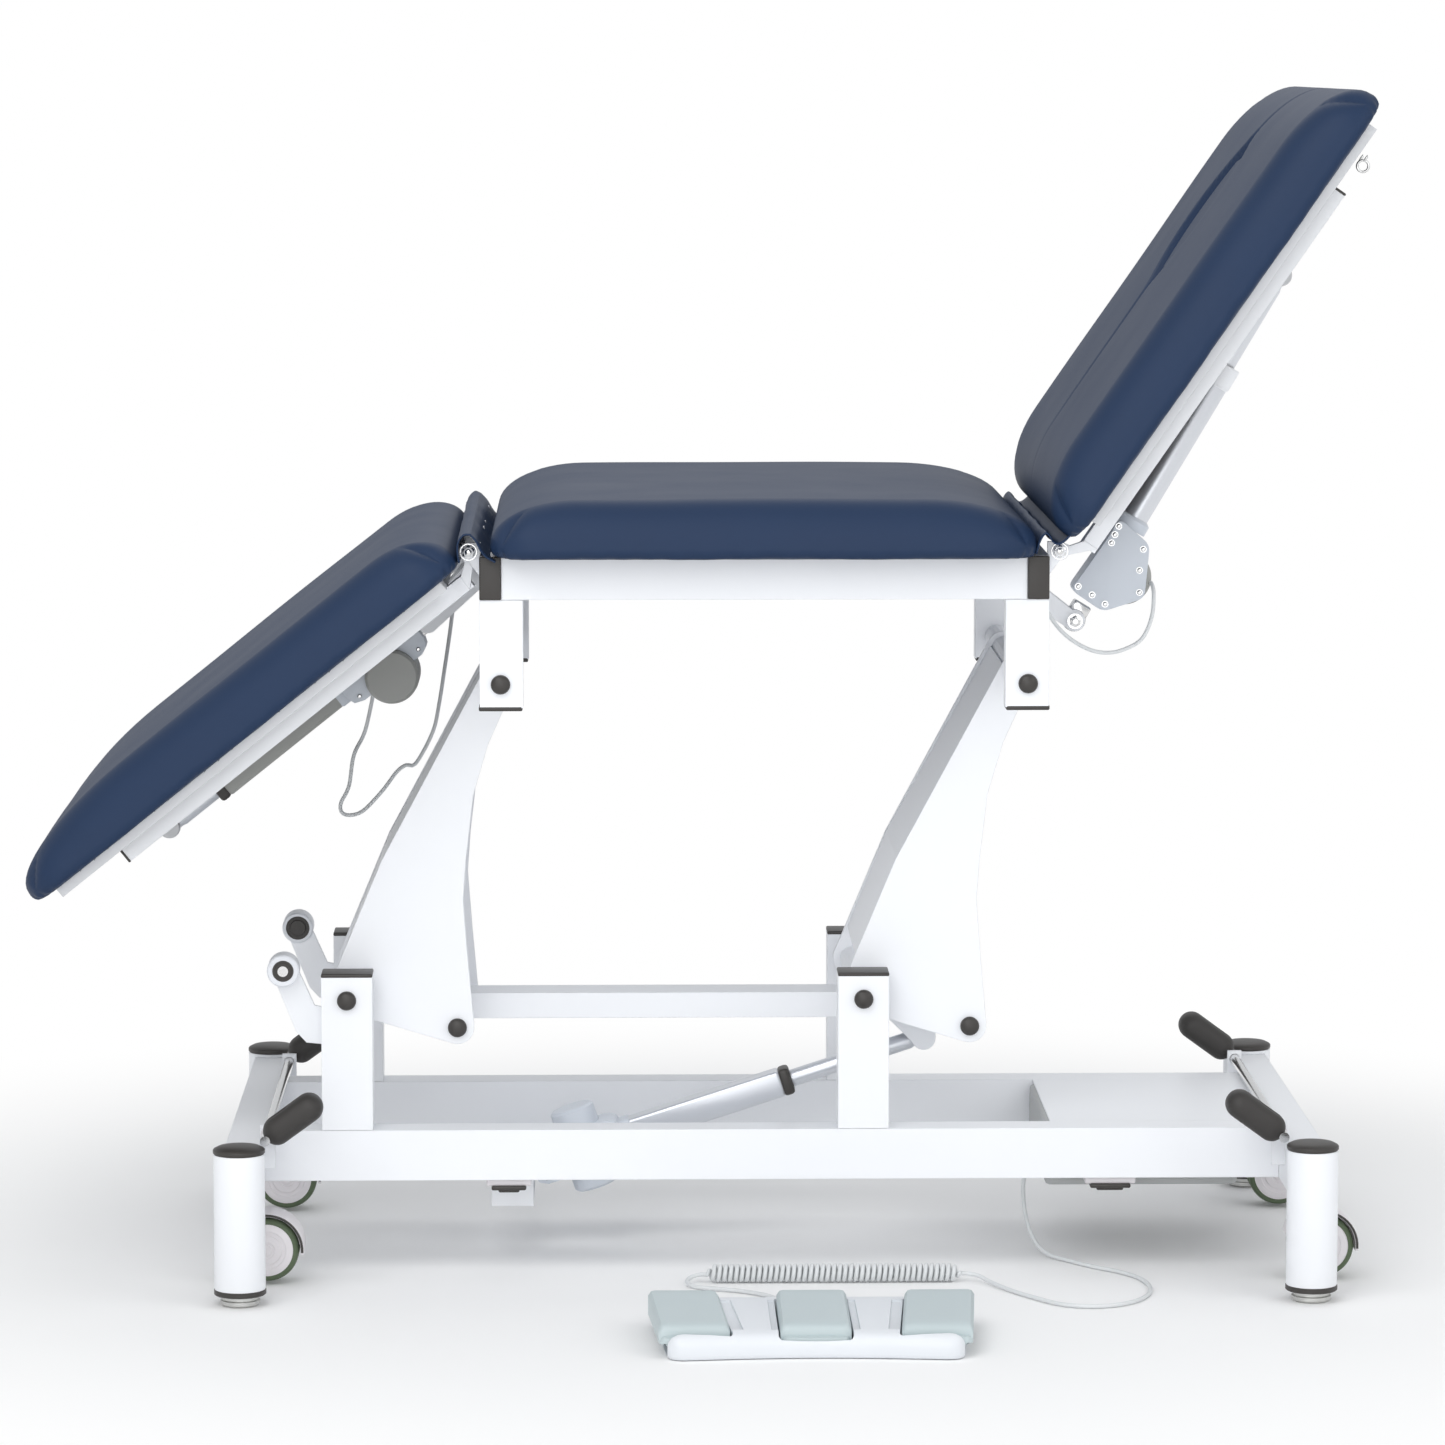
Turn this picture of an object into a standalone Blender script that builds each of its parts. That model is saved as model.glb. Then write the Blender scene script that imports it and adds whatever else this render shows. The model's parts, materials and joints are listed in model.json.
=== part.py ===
"""Electric examination couch: three padded sections on a crank-arm lift, with castors and a foot control.

Metres, +Z up, +X towards the head end, -Y the near side. Running it clears the scene and builds the couch.
"""

import math

import bmesh
import bpy
from mathutils import Vector

# ---------------------------------------------------------------- driving dimensions
GAP = 0.0003                # left between pieces that touch
RUN = 0.0003                # running clearance of a pin in its hole

LEG_SPAN_X = 1.238          # leg centre to leg centre, along the couch
LEG_SPAN_Y = 0.700          # leg centre to leg centre, across it
LEG_R = 0.030
LEG_TOP = 0.187
FOOT_RING_H = 0.012         # levelling foot
FOOT_NECK_H = 0.006         # rubber ring above it
RAIL_Z = 0.113              # underside of the base frame
RAIL_H = 0.060
RAIL_T = 0.045              # rail thickness across the couch
RAIL_OUT = 0.188            # outer face of a base rail from the midplane
CROSS_W = 0.040             # cross member, along the couch
WALL = 0.003                # steel tube wall

POST_W = 0.060
POST_TOP = 0.355
LIFT_X = -0.501             # base pivot of the foot-end arm
LIFT_Z = 0.328
LIFT_PITCH = 0.608          # between the two arms' pivots
ARM_X, ARM_Z = 0.184, 0.384         # top pivot from the base pivot
CRANK_X, CRANK_Z = 0.1285, -0.042   # coupling pivot from the base pivot
ARM_OUT = 0.130             # outer face of an arm plate from the midplane
ARM_T = 0.006
PIN_R = 0.008
DOME_R = 0.0105
DOME_H = 0.008

FRAME_OUT = 0.290           # outer face of the upper frame from the midplane
FRAME_H = 0.050
FRAME_T = 0.025
FRAME_Z = 0.8096            # underside of the upper frame
FRAME_END = 0.024           # end tube beyond the top pivot
HANG_W = 0.050              # hanging post, along the couch
HANG_T = 0.030
HANG_BELOW = 0.0275         # post below the top pivot

HINGE_Z = 0.864
HINGE_OUT = 0.0125          # section hinge beyond the end tube
PAD_W = 0.700               # width of the padded sections
PAD_T = 0.070
PAD_R = 0.030
SEAT_SETBACK_FOOT = 0.0255  # seat pad's end from the foot hinge
SEAT_SETBACK_HEAD = 0.028   # and from the back hinge
SEAT_TAPER = (0.120, 0.054) # long round at the seat pad's head end
BACK_FOOT_R = 0.045         # round at the back pad's hinge end
FOOT_LEN = 0.640
FOOT_START = 0.014
BACK_LEN = 0.630
BACK_START = 0.020
FOOT_ANGLE = math.radians(38.6)     # below level
BACK_ANGLE = math.radians(55.3)     # above level
BOARD_T = 0.012
BOARD_INSET = 0.030
SECTION_TUBE = 0.025
SECTION_OUT = 0.270
EAR_T = 0.006

ACT_PIN_R = 0.006
ACT_BODY = 0.033            # side of an actuator's square outer tube
ROD_R = 0.0105
LIFT_ACT_X, LIFT_ACT_Z = -0.302, 0.093      # rear pivot of the lift actuator
LIFT_PIN_X, LIFT_PIN_DROP = 0.187, 0.0335   # its clevis under the coupling bar
BACK_ACT_DX, BACK_ACT_DZ = 0.0386, -0.1056  # back actuator's lower pivot from the back hinge
BACK_PIN_ALONG, BACK_PIN_DROP = 0.4133, 0.0584
FOOT_ACT_DX, FOOT_ACT_DZ = -0.054, -0.1043
FOOT_PIN_ALONG, FOOT_PIN_DROP = 0.507, 0.048

CASTOR_Y = 0.220
CASTOR_R = 0.0375
CASTOR_LIFT = 0.004         # wheels clear of the floor
CASTOR_TRAIL = 0.025
CASTOR_TREAD = 0.018        # one wheel's width
CASTOR_HOOD = 0.014         # hood between the two wheels
SHAFT_IN = 0.007            # pedal shaft, inward of the cross member
SHAFT_Z = 0.181
SHAFT_R = 0.006
PEDAL_Y = 0.280
PEDAL_ANGLE = math.radians(36)
ROLLER_X, ROLLER_Z = -0.0745, 0.035  # roller from the foot-end base pivot
ROLLER_R = 0.019

TRAY_X = 0.331
BOX_X0, BOX_X1 = 0.326, 0.556
BOX_Z = 0.093

CTRL_X = 0.035              # foot control, standing on the floor
CTRL_W_BACK, CTRL_W_FRONT = 0.362, 0.330
CTRL_Y_BACK, CTRL_Y_FRONT = -0.455, -0.660
CTRL_H = 0.030
TREADLE_W = 0.067
TREADLE_PITCH = 0.140
CORD_R = 0.0025
CURL_R = 0.0095
CURL_X0, CURL_X1 = -0.0812, 0.2207
CURL_Y = -0.240

# ---------------------------------------------------------------- worked out from them
LEG_X = LEG_SPAN_X / 2
LEG_Y = LEG_SPAN_Y / 2
RAIL_TOP = RAIL_Z + RAIL_H
CROSS_IN = LEG_X - CROSS_W / 2
RAIL_IN = RAIL_OUT - RAIL_T
LIFT_X2 = LIFT_X + LIFT_PITCH
TOP_X, TOP_Z = LIFT_X + ARM_X, LIFT_Z + ARM_Z
CRANK_WX, CRANK_WZ = LIFT_X + CRANK_X, LIFT_Z + CRANK_Z
FRAME_X0 = TOP_X - FRAME_END
FRAME_X1 = TOP_X + LIFT_PITCH + FRAME_END
FRAME_TOP = FRAME_Z + FRAME_H
FOOT_HX = FRAME_X0 - HINGE_OUT
BACK_HX = FRAME_X1 + HINGE_OUT
PAD_Z = FRAME_TOP + GAP - HINGE_Z           # padding's underside, seen from a hinge
SHAFT_X = CROSS_IN - SHAFT_IN
NEAR, FAR = -1, 1
SIDES = {"near": NEAR, "far": FAR}
ENDS = {"foot": -1, "head": 1}

# ---------------------------------------------------------------- pins, eyes and the cord's route
ROLLER_PIN_R = 0.005
EYE_GAP = 0.0125            # between a clevis's cheeks and the midplane
EYE_R = 0.013
HINGE_PIN_R = 0.005
SWING_OUT = 0.040           # outer face of a swing plate from the midplane
CORD_EXIT = (0.318, -0.060, 0.115)     # end of the gland on the control box
CORD_END = (0.015, CTRL_Y_BACK + 0.010, 0.014)
CORD_Z = CORD_R + 0.0002
CORD_OUT = [
    (0.3177, -0.060, 0.115), (0.3145, -0.060, 0.115), (0.3085, -0.0615, 0.1085), (0.3055, -0.065, 0.088),
    (0.3050, -0.070, 0.068), (0.3070, -0.077, 0.048), (0.3120, -0.085, 0.029), (0.3210, -0.095, 0.013),
    (0.3340, -0.109, 0.0045), (0.3520, -0.131, CORD_Z),
    (0.3800, -0.169, CORD_Z), (0.4080, -0.199, CORD_Z), (0.4290, -0.235, CORD_Z), (0.4380, -0.285, CORD_Z),
    (0.4300, -0.335, CORD_Z), (0.4070, -0.373, CORD_Z), (0.3700, -0.393, CORD_Z), (0.3300, -0.383, CORD_Z),
    (0.2990, -0.344, CORD_Z), (0.2740, -0.303, CORD_Z), (0.2530, -0.265, 0.0045), (0.2390, -0.2455, 0.0085),
    (0.2250, -0.240, 0.0098), (0.2210, -0.240, 0.0098),
]
CORD_BACK = [
    (-0.0815, -0.240, 0.0098), (-0.0855, -0.240, 0.0098), (-0.0950, -0.2435, 0.0085),
    (-0.1015, -0.2525, 0.0060), (-0.1010, -0.2660, 0.0040),
    (-0.0900, -0.2780, CORD_Z), (-0.0680, -0.2880, CORD_Z), (-0.0380, -0.3020, CORD_Z), (-0.0100, -0.3270, CORD_Z),
    (0.0070, -0.3620, CORD_Z), (0.0140, -0.3980, 0.0050), (0.0150, -0.4230, 0.0115),
    (0.0150, -0.4405, 0.0140), (0.0150, -0.4447, 0.0140),
]


# ---------------------------------------------------------------- shapes
def new_mesh(bm, name):
    bmesh.ops.recalc_face_normals(bm, faces=bm.faces)
    mesh = bpy.data.meshes.new(name)
    bm.to_mesh(mesh)
    bm.free()
    return mesh


def box(x0, x1, y0, y1, z0, z1, round_by=0.0, steps=2):
    bm = bmesh.new()
    bmesh.ops.create_cube(bm, size=1.0)
    size = Vector((x1 - x0, y1 - y0, z1 - z0))
    middle = Vector((x0 + x1, y0 + y1, z0 + z1)) / 2
    for vert in bm.verts:
        vert.co = Vector(a * b for a, b in zip(vert.co, size)) + middle
    if round_by:
        bmesh.ops.bevel(bm, geom=bm.edges[:], offset=round_by, segments=steps, affect="EDGES", profile=0.5)
    return bm


def prism(outline, low, high, axis="Y"):
    """A flat outline pushed through from low to high. Points are (x, z) for Y, (x, y) for Z and (y, z) for X."""
    place = {
        "X": lambda a, b, c: (c, a, b),
        "Y": lambda a, b, c: (a, c, b),
        "Z": lambda a, b, c: (a, b, c),
    }[axis]
    bm = bmesh.new()
    ends = [[bm.verts.new(place(a, b, c)) for a, b in outline] for c in (low, high)]
    bm.faces.new(ends[0])
    bm.faces.new(ends[1][::-1])
    count = len(outline)
    for i in range(count):
        j = (i + 1) % count
        bm.faces.new((ends[0][i], ends[0][j], ends[1][j], ends[1][i]))
    return bm


def circle(a, b, r, steps, start=0.0, sweep=2 * math.pi):
    """Points on a circle, or on the arc of it from start through sweep."""
    whole = abs(sweep - 2 * math.pi) < 1e-9
    count = steps if whole else steps + 1
    angles = [start + sweep * i / steps for i in range(count)]
    return [(a + r * math.cos(t), b + r * math.sin(t)) for t in angles]


def rod(axis, a, b, r, low, high, steps=24):
    return prism(circle(a, b, r, steps), low, high, axis)


def turned(profile, axis, a, b, steps=28):
    """A closed solid of revolution. The profile is (radius, place along the axis), from one pole to the other."""
    place = {"Y": lambda u, v, w: (a + u, w, b + v), "Z": lambda u, v, w: (a + u, b + v, w)}[axis]
    bm = bmesh.new()
    rings = []
    for r, w in profile:
        if r == 0:
            rings.append([bm.verts.new(place(0, 0, w))])
        else:
            rings.append([bm.verts.new(place(u, v, w)) for u, v in circle(0, 0, r, steps)])
    for one, two in zip(rings, rings[1:]):
        for i in range(steps):
            j = (i + 1) % steps
            corners = [one[i % len(one)], one[j % len(one)], two[j % len(two)], two[i % len(two)]]
            bm.faces.new(list(dict.fromkeys(corners)))
    return bm


def dome_profile(w, r, h, way):
    """A domed bolt head on a face at w, rising by h."""
    rises = [(r, 0.0), (r, 0.4), (0.7 * r, 0.85)]
    return [(0, w)] + [(radius, w + way * share * h) for radius, share in rises] + [(0, w + way * h)]


def dome(a, b, w, way, r=DOME_R, h=DOME_H):
    profile = dome_profile(w, r, h, way)
    return turned(profile if way > 0 else profile[::-1], "Y", a, b, 12)


def hollow(axis, a0, a1, b0, b1, low, high, wall=WALL):
    """An open-ended box tube along an axis. a and b are the other two axes, in X, Y, Z order."""
    orders = {"X": lambda a, b, c: (c, a, b), "Y": lambda a, b, c: (a, c, b), "Z": lambda a, b, c: (a, b, c)}
    place = orders[axis]
    outer = [(a0, b0), (a1, b0), (a1, b1), (a0, b1)]
    inner = [(a0 + wall, b0 + wall), (a1 - wall, b0 + wall), (a1 - wall, b1 - wall), (a0 + wall, b1 - wall)]
    bm = bmesh.new()
    rings = [[bm.verts.new(place(a, b, c)) for a, b in ring] for ring in (outer, inner) for c in (low, high)]
    for i in range(4):
        j = (i + 1) % 4
        for one, two in ((0, 1), (2, 3), (0, 2), (1, 3)):
            bm.faces.new((rings[one][i], rings[one][j], rings[two][j], rings[two][i]))
    return bm


# ---------------------------------------------------------------- materials, pivots and objects
FINISHES = {
    "powder_coat": ((0.86, 0.88, 0.92), 0.35, 0.0),
    "navy_vinyl": ((0.030, 0.055, 0.115), 0.42, 0.0),
    "plywood": ((0.52, 0.38, 0.22), 0.6, 0.0),
    "black_rubber": ((0.035, 0.033, 0.030), 0.55, 0.0),
    "grey_plastic": ((0.45, 0.46, 0.48), 0.5, 0.0),
    "pale_plastic": ((0.55, 0.62, 0.64), 0.4, 0.0),
    "aluminium": ((0.66, 0.68, 0.72), 0.35, 0.9),
    "steel": ((0.70, 0.70, 0.72), 0.25, 1.0),
    "castor_white": ((0.80, 0.79, 0.80), 0.4, 0.0),
    "cord_grey": ((0.60, 0.62, 0.63), 0.45, 0.0),
}


def clear_scene():
    for obj in list(bpy.data.objects):
        bpy.data.objects.remove(obj, do_unlink=True)


def make_materials():
    for name, (colour, roughness, metallic) in FINISHES.items():
        material = bpy.data.materials.new(name)
        material.use_nodes = True
        shader = material.node_tree.nodes["Principled BSDF"]
        shader.inputs["Base Color"].default_value = (*colour, 1.0)
        shader.inputs["Roughness"].default_value = roughness
        shader.inputs["Metallic"].default_value = metallic


def pivot(name, place=(0, 0, 0), parent=None, turn=0.0):
    """An empty on a joint's axis. Its pieces are modelled from it, level, and turn about Y is added after."""
    empty = bpy.data.objects.new(name, None)
    empty.empty_display_size = 0.03
    empty.parent = parent
    empty.location = place
    empty.rotation_euler.y = turn
    bpy.context.collection.objects.link(empty)
    return empty


def piece(name, bm, parent, finish, smooth=True):
    mesh = new_mesh(bm, name)
    mesh.materials.append(bpy.data.materials[finish])
    if smooth:
        mesh.shade_smooth()
        mesh.set_sharp_from_angle(angle=math.radians(35))
    obj = bpy.data.objects.new(name, mesh)
    obj.parent = parent
    bpy.context.collection.objects.link(obj)
    return obj


def helper(bm, name, parent):
    obj = bpy.data.objects.new(name, new_mesh(bm, name))
    obj.parent = parent
    obj.hide_render = True
    obj.display_type = "WIRE"
    bpy.context.collection.objects.link(obj)
    return obj


def combine(obj, shapes, operation):
    """Adds a Boolean for each shape, so that the sizes above can still be changed."""
    for shape in shapes:
        tool = helper(shape, f"{obj.name}_{operation.lower()}_{len(obj.modifiers)}", obj.parent)
        modifier = obj.modifiers.new(tool.name, "BOOLEAN")
        modifier.operation = operation
        modifier.solver = "EXACT"
        modifier.object = tool
    return obj


def add(obj, *shapes):
    return combine(obj, shapes, "UNION")


def cut(obj, *shapes):
    return combine(obj, shapes, "DIFFERENCE")


# ---------------------------------------------------------------- base frame
def base_rails(root):
    for side, way in SIDES.items():
        low, high = sorted((way * RAIL_IN, way * RAIL_OUT))
        shape = hollow("X", low, high, RAIL_Z, RAIL_TOP, -CROSS_IN + GAP, CROSS_IN - GAP)
        piece(f"base_rail_{side}", shape, root, "powder_coat", False)


def cross_members(root):
    """A folded channel, open below for the castor bar, coped round the legs, with two ears for the pedal shaft."""
    length = LEG_Y
    for end, way in ENDS.items():
        x0, x1 = way * LEG_X - CROSS_W / 2, way * LEG_X + CROSS_W / 2
        channel = [
            (x0, RAIL_Z), (x0, RAIL_TOP), (x1, RAIL_TOP), (x1, RAIL_Z),
            (x1 - WALL, RAIL_Z), (x1 - WALL, RAIL_TOP - WALL), (x0 + WALL, RAIL_TOP - WALL), (x0 + WALL, RAIL_Z),
        ]
        member = piece(f"cross_member_{end}", prism(channel, -length, length), root, "powder_coat", False)
        ear_y = PEDAL_Y - 0.036
        inner = way * (CROSS_IN + 0.0015)
        outer = way * (SHAFT_X - 0.009)
        low, high = sorted((inner, outer))
        ear_ends = [(s * ear_y - EAR_T / 2, s * ear_y + EAR_T / 2) for s in (NEAR, FAR)]
        add(member, *[box(low, high, y0, y1, RAIL_TOP - 0.034, SHAFT_Z + 0.010) for y0, y1 in ear_ends])
        bore = rod("Y", way * SHAFT_X, SHAFT_Z, SHAFT_R + RUN, -PEDAL_Y, PEDAL_Y, 16)
        cope_r = LEG_R + 2 * GAP
        copes = [rod("Z", way * LEG_X, s * LEG_Y, cope_r, RAIL_Z - 0.02, RAIL_TOP + 0.02, 24) for s in (NEAR, FAR)]
        cut(member, bore, *copes)


def legs(root):
    """Round tube legs, each with its rubber ring and levelling foot screwed home."""
    for end, x_way in ENDS.items():
        for side, y_way in SIDES.items():
            x, y = x_way * LEG_X, y_way * LEG_Y
            neck = FOOT_RING_H + FOOT_NECK_H
            profile = [
                (0, 0), (LEG_R, 0), (LEG_R, FOOT_RING_H), (LEG_R - 0.002, FOOT_RING_H), (LEG_R - 0.002, neck),
                (LEG_R, neck),
                (LEG_R, LEG_TOP), (LEG_R - WALL, LEG_TOP), (LEG_R - WALL, neck + 0.01), (0, neck + 0.01),
            ]
            piece(f"leg_{side}_{end}", turned(profile, "Z", x, y, 24), root, "powder_coat")


def base_posts(root):
    """Four posts on the rails. The two at the foot end carry the roller arms."""
    for end, x in (("foot", LIFT_X), ("head", LIFT_X2)):
        for side, way in SIDES.items():
            low, high = sorted((way * RAIL_IN, way * RAIL_OUT))
            shape = hollow("Z", x - POST_W / 2, x + POST_W / 2, low, high, RAIL_TOP + GAP, POST_TOP)
            post = piece(f"base_post_{side}_{end}", shape, root, "powder_coat", False)
            if end == "foot":
                middle = (low + high) / 2
                rx, rz = x + ROLLER_X, LIFT_Z + ROLLER_Z
                inside = x - POST_W / 2 + WALL / 2
                arm = circle(rx, rz, 0.015, 10, math.radians(20), math.pi) + [
                    (rx + 0.014, rz - 0.075), (rx + 0.026, rz - 0.088), (inside, rz - 0.090), (inside, rz - 0.046),
                    (rx + 0.036, rz - 0.044),
                ]
                add(post, prism(arm, middle - 0.003, middle + 0.003))
                cut(post, rod("Y", rx, rz, ROLLER_PIN_R + RUN, middle - 0.01, middle + 0.01, 16))
            cut(post, rod("Y", x, LIFT_Z, PIN_R + RUN, low - 0.01, high + 0.01, 14))


def rollers(root):
    """A roller each side on a short pin through its arm. The foot section rides up on them as the couch comes down."""
    for side, way in SIDES.items():
        rx, rz = LIFT_X + ROLLER_X, LIFT_Z + ROLLER_Z
        middle = way * (RAIL_IN + RAIL_OUT) / 2
        axle = pivot(f"roller_axis_{side}", (rx, middle, rz), root)
        inner = 0.003 + GAP
        tread = rod("Y", 0, 0, ROLLER_R, *sorted((way * inner, way * (inner + 0.022))), 24)
        wheel = piece(f"roller_{side}", tread, axle, "castor_white")
        pin_out = -way * (0.003 + 0.008)
        add(wheel, rod("Y", 0, 0, ROLLER_PIN_R, *sorted((pin_out, way * 0.012)), 16))
        head = sorted((-way * inner, -way * (inner + 0.006)))
        add(wheel, rod("Y", 0, 0, 0.009, *head, 16))


def cover_tray(root):
    """A folded sheet between the rails, over the control box."""
    y = RAIL_IN - GAP
    t = 0.002
    section = [
        (-y, RAIL_TOP - 0.030), (-y, RAIL_TOP), (y, RAIL_TOP), (y, RAIL_TOP - 0.030),
        (y - t, RAIL_TOP - 0.030), (y - t, RAIL_TOP - t), (t - y, RAIL_TOP - t), (t - y, RAIL_TOP - 0.030),
    ]
    piece("cover_tray", prism(section, TRAY_X, CROSS_IN - GAP, "X"), root, "powder_coat", False)


def control_box(root):
    top = RAIL_TOP - 0.002 - GAP
    y = RAIL_IN - 0.012
    body = piece("control_box", box(BOX_X0, BOX_X1, -y, y, BOX_Z, top, 0.006, 2), root, "grey_plastic")
    add(body, rod("X", CORD_EXIT[1], CORD_EXIT[2], 0.006, CORD_EXIT[0], BOX_X0 + 0.004, 16))


def lift_bracket(root):
    """A strap under both rails, with two ears up to the rear pivot of the lift actuator."""
    x0, x1 = LIFT_ACT_X - 0.031, LIFT_ACT_X + 0.019
    under = RAIL_Z - GAP
    strap_z = LIFT_ACT_Z - 0.026
    t = 0.004
    y = RAIL_IN + 0.020
    hat = [
        (-y, under), (-y, under - t), (-RAIL_IN + 0.012, under - t), (-RAIL_IN + 0.030, strap_z), (RAIL_IN - 0.030, strap_z),
        (RAIL_IN - 0.012, under - t), (y, under - t), (y, under), (RAIL_IN - 0.014, under),
        (RAIL_IN - 0.032, strap_z + t), (-RAIL_IN + 0.032, strap_z + t), (-RAIL_IN + 0.014, under),
    ]
    strap = piece("lift_bracket", prism(hat, x0, x1, "X"), root, "powder_coat", False)
    cheek = [(LIFT_ACT_X - 0.020, strap_z + 0.001), (LIFT_ACT_X + 0.016, strap_z + 0.001)]
    cheek += circle(LIFT_ACT_X, LIFT_ACT_Z, 0.014, 10, 0.0, math.pi)
    for way in (NEAR, FAR):
        add(strap, prism(cheek, *sorted((way * EYE_GAP, way * (EYE_GAP + EAR_T)))))
    add(strap, rod("Y", LIFT_ACT_X, LIFT_ACT_Z, ACT_PIN_R, -EYE_GAP - 0.004, EYE_GAP + 0.004, 16))


# ---------------------------------------------------------------- castors and their pedals
def castor_gear(root):
    """At each end: a shaft with two pedals, the bar inside the cross member, and two twin-wheel castors under it."""
    wheel_z = CASTOR_R + CASTOR_LIFT
    for end, way in ENDS.items():
        shaft_axis = pivot(f"pedal_shaft_axis_{end}", (way * SHAFT_X, 0, SHAFT_Z), root)
        reach = PEDAL_Y + 0.016
        shaft_rod = rod("Y", 0, 0, SHAFT_R, -reach, reach, 16)
        shaft = piece(f"pedal_shaft_{end}", shaft_rod, shaft_axis, "black_rubber")
        along = Vector((-way * math.cos(PEDAL_ANGLE), 0, math.sin(PEDAL_ANGLE)))
        up = Vector((way * math.sin(PEDAL_ANGLE), 0, math.cos(PEDAL_ANGLE)))
        for side in (NEAR, FAR):
            outline = []
            for centre, start in ((0.062, -math.pi / 2), (0.017, math.pi / 2)):
                for a, b in circle(centre, 0, 0.017, 8, start, math.pi):
                    spot = along * a + up * b
                    outline.append((spot.x, spot.z))
            add(shaft, prism(outline, side * PEDAL_Y - 0.023, side * PEDAL_Y + 0.023))

        bar_axis = pivot(f"castor_bar_axis_{end}", (way * LEG_X, 0, 0), root)
        half = CROSS_W / 2 - WALL - 0.0004
        bar_z0, bar_z1 = RAIL_Z + 0.004, RAIL_Z + 0.022
        bar_box = box(-half, half, -CASTOR_Y - 0.03, CASTOR_Y + 0.03, bar_z0, bar_z1)
        bar = piece(f"castor_bar_{end}", bar_box, bar_axis, "aluminium", False)
        stem_r = 0.0055
        cut(bar, *[rod("Z", 0, s * CASTOR_Y, stem_r + RUN, bar_z0 - 0.01, bar_z1 - 0.004, 16) for s in (NEAR, FAR)])

        for side, y_way in SIDES.items():
            swivel = pivot(f"castor_swivel_{side}_{end}", (0, y_way * CASTOR_Y, 0), bar_axis)
            hood_r = CASTOR_R + 0.006
            crown = RAIL_Z - 0.003
            hood = circle(CASTOR_TRAIL, wheel_z, hood_r, 16, math.radians(-20), math.radians(200))
            half_hood = CASTOR_HOOD / 2
            fork = piece(f"castor_fork_{side}_{end}", prism(hood, -half_hood, half_hood), swivel, "castor_white")
            above = wheel_z + CASTOR_R + 0.0015
            neck = box(-0.012, 0.024, -half_hood, half_hood, above - 0.020, above + 0.006)
            add(fork, neck, rod("Z", 0, 0, 0.014, above, crown, 16))
            add(fork, rod("Z", 0, 0, stem_r, crown - 0.004, bar_z1 - 0.006, 12))
            cut(fork, rod("Y", CASTOR_TRAIL, wheel_z, 0.004 + RUN, -0.02, 0.02, 16))
            wheel_axis = pivot(f"castor_wheel_axis_{side}_{end}", (CASTOR_TRAIL, 0, wheel_z), swivel)
            axle = rod("Y", 0, 0, 0.004, -half_hood - 0.004, half_hood + 0.004, 16)
            wheel = piece(f"castor_wheel_{side}_{end}", axle, wheel_axis, "black_rubber")
            inner = half_hood + GAP
            outer = inner + CASTOR_TREAD
            rim = [(CASTOR_R, inner), (CASTOR_R, outer - 0.004), (CASTOR_R - 0.004, outer)]
            disc = [(0, inner), *rim, (0, outer + 0.001)]
            add(wheel, turned(disc, "Y", 0, 0, 24))
            add(wheel, turned([(r, -w) for r, w in disc][::-1], "Y", 0, 0, 24))


# ---------------------------------------------------------------- lift
def arm_outline():
    """One side plate of a crank arm, from its base pivot, round all three pivots, with a hollow back edge."""
    top = circle(ARM_X, ARM_Z, 0.020, 8, math.radians(-20), math.radians(165))
    base = circle(0, 0, 0.024, 8, math.radians(155), math.radians(115))
    crank = circle(CRANK_X, CRANK_Z, 0.020, 8, math.radians(-110), math.radians(115))
    back = [(CRANK_X + 0.0125, CRANK_Z + 0.085), (CRANK_X + 0.0075, CRANK_Z + 0.152),
            (CRANK_X + 0.0110, CRANK_Z + 0.200), (CRANK_X + 0.0200, CRANK_Z + 0.277), (CRANK_X + 0.0380, CRANK_Z + 0.338)]
    return top + [(0.040, 0.158)] + base + crank + back


def lift_arms(root):
    """Two folded crank arms: two plates each, a web along their outer edge, and tubes at two of the pivots."""
    plate_in = ARM_OUT - ARM_T
    arms = {}
    for end, x in (("foot", LIFT_X), ("head", LIFT_X2)):
        axis = pivot(f"lift_arm_axis_{end}", (x, 0, LIFT_Z), root)
        arm = piece(f"lift_arm_{end}", prism(arm_outline(), -ARM_OUT, -plate_in), axis, "powder_coat", False)
        far_plate = prism(arm_outline(), plate_in, ARM_OUT)
        low, high = Vector((-0.0075, 0.040)), Vector((0.040, 0.158))
        top = Vector((ARM_X - 0.017, ARM_Z + 0.002))
        step = 0.004
        side = Vector((step, -step * 0.5))
        inward = Vector((0.0010, 0.0))
        web = [tuple(p + inward) for p in (low, high, top, top + side, high + side, low + side)]
        inside = plate_in + 0.001
        add(arm, far_plate, prism(web, -inside, inside))
        base_tube = rod("Y", 0, 0, 0.0152, -RAIL_IN + GAP, RAIL_IN - GAP, 18)
        top_tube = rod("Y", ARM_X, ARM_Z, 0.014, -FRAME_OUT + HANG_T + GAP, FRAME_OUT - HANG_T - GAP, 16)
        add(arm, base_tube, top_tube)
        for a, b, out in ((0, 0, RAIL_OUT), (ARM_X, ARM_Z, FRAME_OUT)):
            add(arm, rod("Y", a, b, PIN_R, -out - 0.002, out + 0.002, 14))
            for way in (NEAR, FAR):
                add(arm, dome(a, b, way * (out + GAP), way))
        cut(arm, rod("Y", CRANK_X, CRANK_Z, PIN_R + RUN, -ARM_OUT - 0.01, ARM_OUT + 0.01, 14))
        arms[end] = axis
    return arms


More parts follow.
